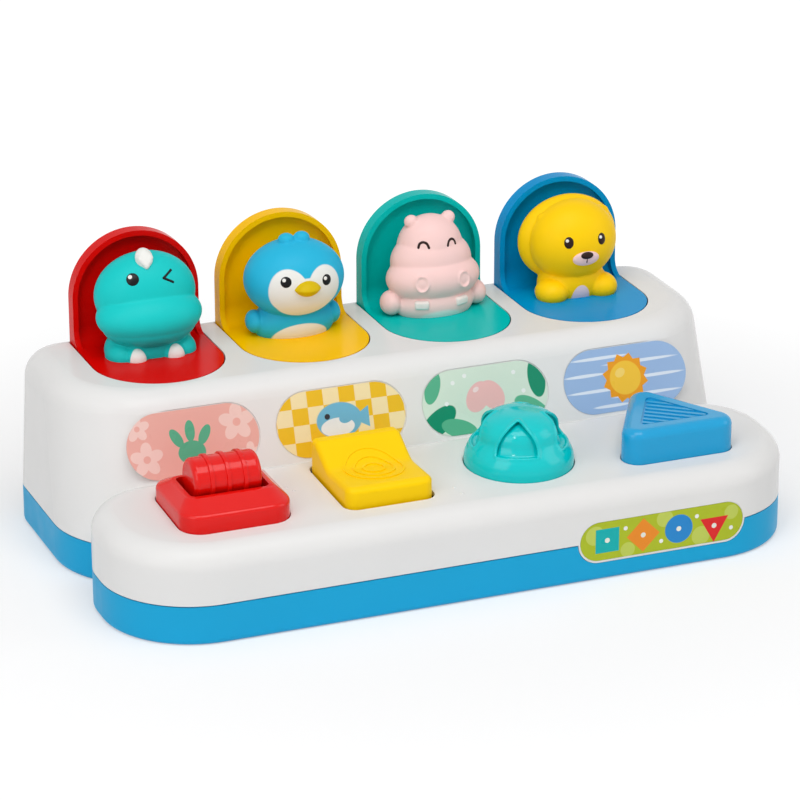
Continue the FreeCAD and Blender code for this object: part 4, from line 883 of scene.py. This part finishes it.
class PrintStickers(bpy.types.Operator):
    """Four stickers: petals and a footprint, checks and a fish, leaves and a heart, a sun"""
    bl_idname = "toy.print_stickers"
    bl_label = "Stickers"

    def execute(self, context):
        for index, (colour, design) in enumerate(zip(COLOURS, (
                self.footprint, self.fish, self.leaves, self.sun))):
            dress_node("sticker_" + colour, printed(design(colour, index)))
        dress_node("front_label", printed(self.shapes()))
        return {"FINISHED"}

    def footprint(self, colour, index):
        finish = sticker_finish(colour, index, (0.80, 0.42, 0.36))
        pale, heart = (0.86, 0.60, 0.54), (0.80, 0.42, 0.36)
        for centre, size in (((-22, -5), 4.2), ((21, 6), 4.6), ((26, -9), 3.0), ((-25, 9), 3.2)):
            petals(finish, pale, heart, centre, size)
        green = (0.10, 0.42, 0.25)
        finish.oval(green, (-1, -4.5), (6.4, 5.2))
        for x, z, turn in ((-7.5, 2.5, 30), (-1, 5.0, 0), (5.5, 2.5, -30)):
            finish.oval(green, (x, z), (2.3, 4.8), turn)
        return finish

    def fish(self, colour, index):
        finish = sticker_finish(colour, index, (0.84, 0.70, 0.36))
        checks = add_node(finish.tree, "ShaderNodeTexChecker", Scale=1 / 7.6,
                          Color1=(0.82, 0.50, 0.02, 1), Color2=(0.88, 0.74, 0.42, 1))
        finish.tree.links.new(finish.place, checks.inputs["Vector"])
        finish.colour = checks.outputs["Color"]
        blue, pale = (0.16, 0.46, 0.66), (0.80, 0.84, 0.86)
        finish.polygon(blue, (10.5, 0), 2.8, 3, 0)
        finish.oval(blue, (-1, 0), (10.8, 8.0))
        finish.oval(pale, (-2, -3.0), (8.0, 4.2))
        finish.oval(blue, (2.5, 1.0), (3.6, 2.6), 20)
        finish.oval((0.03, 0.03, 0.04), (-6.5, 2.2), (1.3, 1.3))
        return finish

    def leaves(self, colour, index):
        finish = sticker_finish(colour, index, (0.66, 0.78, 0.66))
        deep, mid = (0.01, 0.26, 0.14), (0.10, 0.44, 0.26)
        for centre, radii, turn, green in (
                ((-24, -8), (10.5, 5.2), 35, deep), ((-14, -12), (9, 4.2), -20, mid),
                ((23, -9), (11, 5.2), 140, mid), ((26, 6), (9, 4.2), 95, deep),
                ((-25, 8), (7.5, 3.6), 70, mid)):
            finish.oval(green, centre, radii, turn)
        for x, z in ((-15, 9), (-9, 11.5), (15, 10), (19, 1), (-19, 0)):
            finish.oval((0.85, 0.88, 0.85), (x, z), (1.0, 1.0))
        pink = (0.86, 0.50, 0.48)
        for side in (-1, 1):
            finish.oval(pink, (side * 3.4, 1.2), (5.4, 7.4), side * 34)
        finish.oval((0.90, 0.70, 0.68), (-4.2, 4.6), (1.6, 1.1), 30)
        return finish

    def sun(self, colour, index):
        finish = sticker_finish(colour, index, (0.33, 0.48, 0.72))
        for x, z, long in ((-12, 10.5, 14), (8, 7, 18), (-20, 3.2, 10), (16, -0.5, 13),
                           (-14, -4.4, 15), (10, -8.4, 17), (-8, -12, 9)):
            finish.oval((0.74, 0.80, 0.88), (x, z), (long, 0.75), edge=0.25)
        for turn in (0, 30, 60):
            finish.polygon((0.86, 0.34, 0.02), (0, 0), 8.2, 4, turn)
        finish.oval((0.92, 0.55, 0.05), (0, 0), (7.8, 7.8))
        finish.oval((0.94, 0.66, 0.16), (-2.4, 2.6), (2.6, 2.0), 30)
        return finish

    def shapes(self):
        """Plain shapes in a row on the front label."""
        low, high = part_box("front_label")
        centre = (low + high) / 2 / MM
        finish = Finish("Front label", (0.42, 0.50, 0.02))
        finish.look_at_front(centre.x, centre.z)
        for x, z, size in ((-33, 3, 4.5), (-17, -6, 3.5), (1, 6, 4), (19, -5, 4.5), (34, 4, 3.5)):
            finish.oval((0.52, 0.60, 0.10), (x, z), (size, size))
        finish.polygon((0.004, 0.42, 0.42), (-27.0, 0), 5.7, 4, 0)
        finish.polygon((0.82, 0.26, 0.02), (-9.5, -0.2), 5.7, 4, 45)
        finish.oval((0.02, 0.24, 0.60), (8.0, 0), (6.8, 6.8))
        finish.polygon((0.72, 0.02, 0.02), (25.5, -1.3), 4.0, 3, 90)
        for x, z in ((-27, 0), (-9.5, -0.2), (8.0, 0), (25.5, -1.3)):
            finish.oval((0.80, 0.80, 0.70), (x, z), (1.2, 1.2))
        for x, z in ((-18.2, 4.4), (-0.6, -4.6), (16.8, 4.6), (34.0, -3.6)):
            finish.oval((0.84, 0.84, 0.80), (x, z), (1.0, 1.0))
        return finish


# ---------------------------------------------------------------- plastics and steel
class FinishPlastics(bpy.types.Operator):
    """Glossy, satin and inner plastics on the parts of the frame, and the steel"""
    bl_idname = "toy.finish_plastics"
    bl_label = "Plastics and steel"

    def execute(self, context):
        colours = context.scene.toy_colours
        dress_node("top_shell", glossy_plastic("Casing plastic", colours.shell))
        dress_node("base_tray", satin_plastic("Tray plastic", colours.tray))
        for name in COLOURS:
            dress_node("lid_" + name, glossy_plastic("Lid " + name, getattr(colours, name), 0.05))
        red = polished_plastic("Roller plastic", colours.roller)
        for node in ("roller_bezel", "roller_drum"):
            dress_node(node, red)
        dress_node("yellow_key", satin_plastic("Key plastic", colours.key))
        dress_node("blue_button", polished_plastic("Button plastic", colours.button))
        inner = Finish("Inner plastic", (0.66, 0.66, 0.63)).done((0.40, 0.52), depth=0.15)
        steel = plated_steel()
        for node in frame["nodes"]:
            if node.startswith("release_arm") or node in ("knob_cam", "knob_collar"):
                dress_node(node, inner)
            if any(word in node for word in ("screw", "spring", "pin", "axle")) \
                    and not node.startswith("penguin"):
                dress_node(node, steel)
        return {"FINISHED"}


SPRING_WIRE = 0.45
SPRING_TURNS = 4
SPRING_POINTS = 16                # places on each turn


class MakeSprings(bpy.types.Operator):
    """Coil springs in place of the springs that shorten when their release arm goes down"""
    bl_idname = "toy.make_springs"
    bl_label = "Arm springs"

    def execute(self, context):
        steel = plated_steel()
        for joint in frame["record"]["behaviour"]["joints"]:
            for change in joint.get("deforming_nodes", ()):
                low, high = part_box(change["node"])
                spring = self.coil(low / MM, high / MM)
                spring.name = change["node"].replace("spring", "coil")
                smooth(spring)
                settle(spring, steel, "case", (change["node"],))
                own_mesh(spring)
        return {"FINISHED"}

    def coil(self, low, high):
        """Evenly wound coil that fills a box."""
        centre = (low + high) / 2
        radius = (high.x - low.x) / 2 - SPRING_WIRE
        rise = high.z - low.z - 2 * SPRING_WIRE
        places = []
        for index in range(SPRING_TURNS * SPRING_POINTS + 1):
            angle = math.tau * index / SPRING_POINTS
            height = low.z + SPRING_WIRE + rise * index / (SPRING_TURNS * SPRING_POINTS)
            places.append(Vector((centre.x + radius * math.cos(angle),
                                  centre.y + radius * math.sin(angle), height)))
        return tube(places, SPRING_WIRE)


DECK_DOTS = ((-72.5, -38.0), (-70.5, -42.0), (-3.5, -63.6), (-2.5, -70.6))
ABOVE = 1.0                       # metres, from where places on the deck are found


class AddDeckDots(bpy.types.Operator):
    """Small raised dots in pairs beside two of the controls"""
    bl_idname = "toy.add_deck_dots"
    bl_label = "Deck dots"

    def execute(self, context):
        radius = context.scene.toy_sizes.dot / MM
        shell = frame["nodes"]["top_shell"]
        white = glossy_plastic("Dot plastic", context.scene.toy_colours.shell)
        for index, (x, y) in enumerate(DECK_DOTS):
            _, point, normal, _ = shell.ray_cast(Vector((x * MM, y * MM, ABOVE)), Vector((0, 0, -1)))
            dot = ball(point / MM, (radius, radius, 0.45), facing(normal), segments=24, rings=16)
            dot.name = "deck_dot_%d" % (index + 1)
            smooth(dot)
            settle(dot, white, "case")
        return {"FINISHED"}


# ---------------------------------------------------------------- stage
CAMERA_AZIMUTH = math.radians(-22.07)
CAMERA_ELEVATION = math.radians(21.57)
CAMERA_TARGET = Vector((0.0, -0.00895, 0.060))
CAMERA_DISTANCE = 1.70629
CAMERA_LENS = 170.38
CAMERA_SHIFT = (-0.0182, 0.0143)


def seen_directly(tree):
    """1 for what the camera sees, also in a mirror-like surface or through glass."""
    ray = tree.nodes.new("ShaderNodeLightPath")
    seen = calculate(tree, "MAXIMUM", ray.outputs["Is Camera Ray"], ray.outputs["Is Glossy Ray"])
    return calculate(tree, "MAXIMUM", seen, ray.outputs["Is Transmission Ray"])


class SetStage(bpy.types.Operator):
    """Pale floor, soft studio light and the camera"""
    bl_idname = "toy.set_stage"
    bl_label = "Stage"

    def execute(self, context):
        context.scene.view_settings.view_transform = "Standard"
        self.floor()
        self.world(context.scene)
        for name, place, aim, size, power in (
                ("Top softbox", (-0.1, -0.55, 1.35), (0, 0, 0.05), (1.1, 0.8), 10.0),
                ("Left softbox", (-1.5, -0.9, 0.9), (0, 0, 0.05), (1.0, 1.2), 8.5),
                ("Right softbox", (1.4, -0.8, 0.8), (0, 0, 0.05), (0.8, 1.0), 3.8),
                ("Spot lamp", (-0.75, -0.95, 1.25), (0, 0, 0.05), (0.14, 0.14), 1.6)):
            self.lamp(name, Vector(place), Vector(aim), size, power)
        self.camera(context.scene)
        return {"FINISHED"}

    def floor(self):
        deselect()
        bpy.ops.mesh.primitive_plane_add(size=12.0, location=(0, 0, 0))
        floor = bpy.context.object
        floor.name = "stage_floor"
        material = bpy.data.materials.new("Studio floor")
        material.use_nodes = True
        tree = material.node_tree
        shader = set_inputs(tree.nodes["Principled BSDF"],
                            {"Base Color": (0.92, 0.92, 0.92, 1), "Roughness": 0.9})
        glow = add_node(tree, "ShaderNodeEmission", Strength=1.08)
        seen = seen_directly(tree)
        place = tree.nodes.new("ShaderNodeTexCoord").outputs["Object"]
        away = vector_math(tree, "LENGTH", place)
        spread = add_node(tree, "ShaderNodeMapRange", From_Min=0.12, From_Max=0.45, To_Min=0.33,
                          To_Max=1.0)
        spread.interpolation_type = "SMOOTHSTEP"
        tree.links.new(away.outputs["Value"], spread.inputs["Value"])
        share = calculate(tree, "MULTIPLY", seen, spread.outputs["Result"])
        mix = tree.nodes.new("ShaderNodeMixShader")
        tree.links.new(share, mix.inputs[0])
        tree.links.new(shader.outputs[0], mix.inputs[1])
        tree.links.new(glow.outputs[0], mix.inputs[2])
        tree.links.new(mix.outputs[0], tree.nodes["Material Output"].inputs["Surface"])
        dress(floor, material)

    def world(self, scene):
        world = bpy.data.worlds.new("Studio")
        scene.world = world
        world.use_nodes = True
        tree = world.node_tree
        light = set_inputs(tree.nodes["Background"], {"Color": (0.97, 0.98, 1.0, 1), "Strength": 0.35})
        white = add_node(tree, "ShaderNodeBackground", Color=(1, 1, 1, 1), Strength=1.0)
        mix = tree.nodes.new("ShaderNodeMixShader")
        tree.links.new(seen_directly(tree), mix.inputs[0])
        tree.links.new(light.outputs[0], mix.inputs[1])
        tree.links.new(white.outputs[0], mix.inputs[2])
        tree.links.new(mix.outputs[0], tree.nodes["World Output"].inputs["Surface"])

    def lamp(self, name, place, aim, size, power):
        deselect()
        bpy.ops.object.light_add(type="AREA", location=place)
        lamp = bpy.context.object
        lamp.name = name
        lamp.rotation_euler = (place - aim).to_track_quat("Z", "Y").to_euler()
        lamp.data.shape = "RECTANGLE"
        lamp.data.size, lamp.data.size_y = size
        lamp.data.energy = power

    def camera(self, scene):
        back = Vector((math.sin(CAMERA_AZIMUTH) * math.cos(CAMERA_ELEVATION),
                       -math.cos(CAMERA_AZIMUTH) * math.cos(CAMERA_ELEVATION),
                       math.sin(CAMERA_ELEVATION)))
        deselect()
        bpy.ops.object.camera_add(location=CAMERA_TARGET + back * CAMERA_DISTANCE)
        camera = bpy.context.object
        camera.rotation_euler = back.to_track_quat("Z", "Y").to_euler()
        camera.data.lens = CAMERA_LENS
        camera.data.shift_x, camera.data.shift_y = CAMERA_SHIFT
        scene.camera = camera


# ---------------------------------------------------------------- add-on
STEPS = (FinishPlastics, PrintStickers, AddDeckDots, MakeDinosaur, MakePenguin, MakeHippo, MakeLion,
         MakeKnob, MakeSprings, SetStage)


class ToyPanel(bpy.types.Panel):
    """Builds the toy piece by piece"""
    bl_idname = "VIEW3D_PT_toy"
    bl_label = "Pop up toy"
    bl_space_type = "VIEW_3D"
    bl_region_type = "UI"
    bl_category = "Toy"

    def draw(self, context):
        for settings in (context.scene.toy_sizes, context.scene.toy_colours):
            for name in settings.__annotations__:
                self.layout.prop(settings, name)
        for step in STEPS:
            self.layout.operator(step.bl_idname)


CLASSES = (ToySizes, ToyColours, *STEPS, ToyPanel)


def register():
    for item in CLASSES:
        bpy.utils.register_class(item)
    bpy.types.Scene.toy_sizes = bpy.props.PointerProperty(type=ToySizes)
    bpy.types.Scene.toy_colours = bpy.props.PointerProperty(type=ToyColours)


def unregister():
    del bpy.types.Scene.toy_colours
    del bpy.types.Scene.toy_sizes
    for item in reversed(CLASSES):
        bpy.utils.unregister_class(item)


def main():
    register()
    for step in STEPS:
        group, name = step.bl_idname.split(".")
        getattr(getattr(bpy.ops, group), name)()


if __name__ == "__main__":
    main()
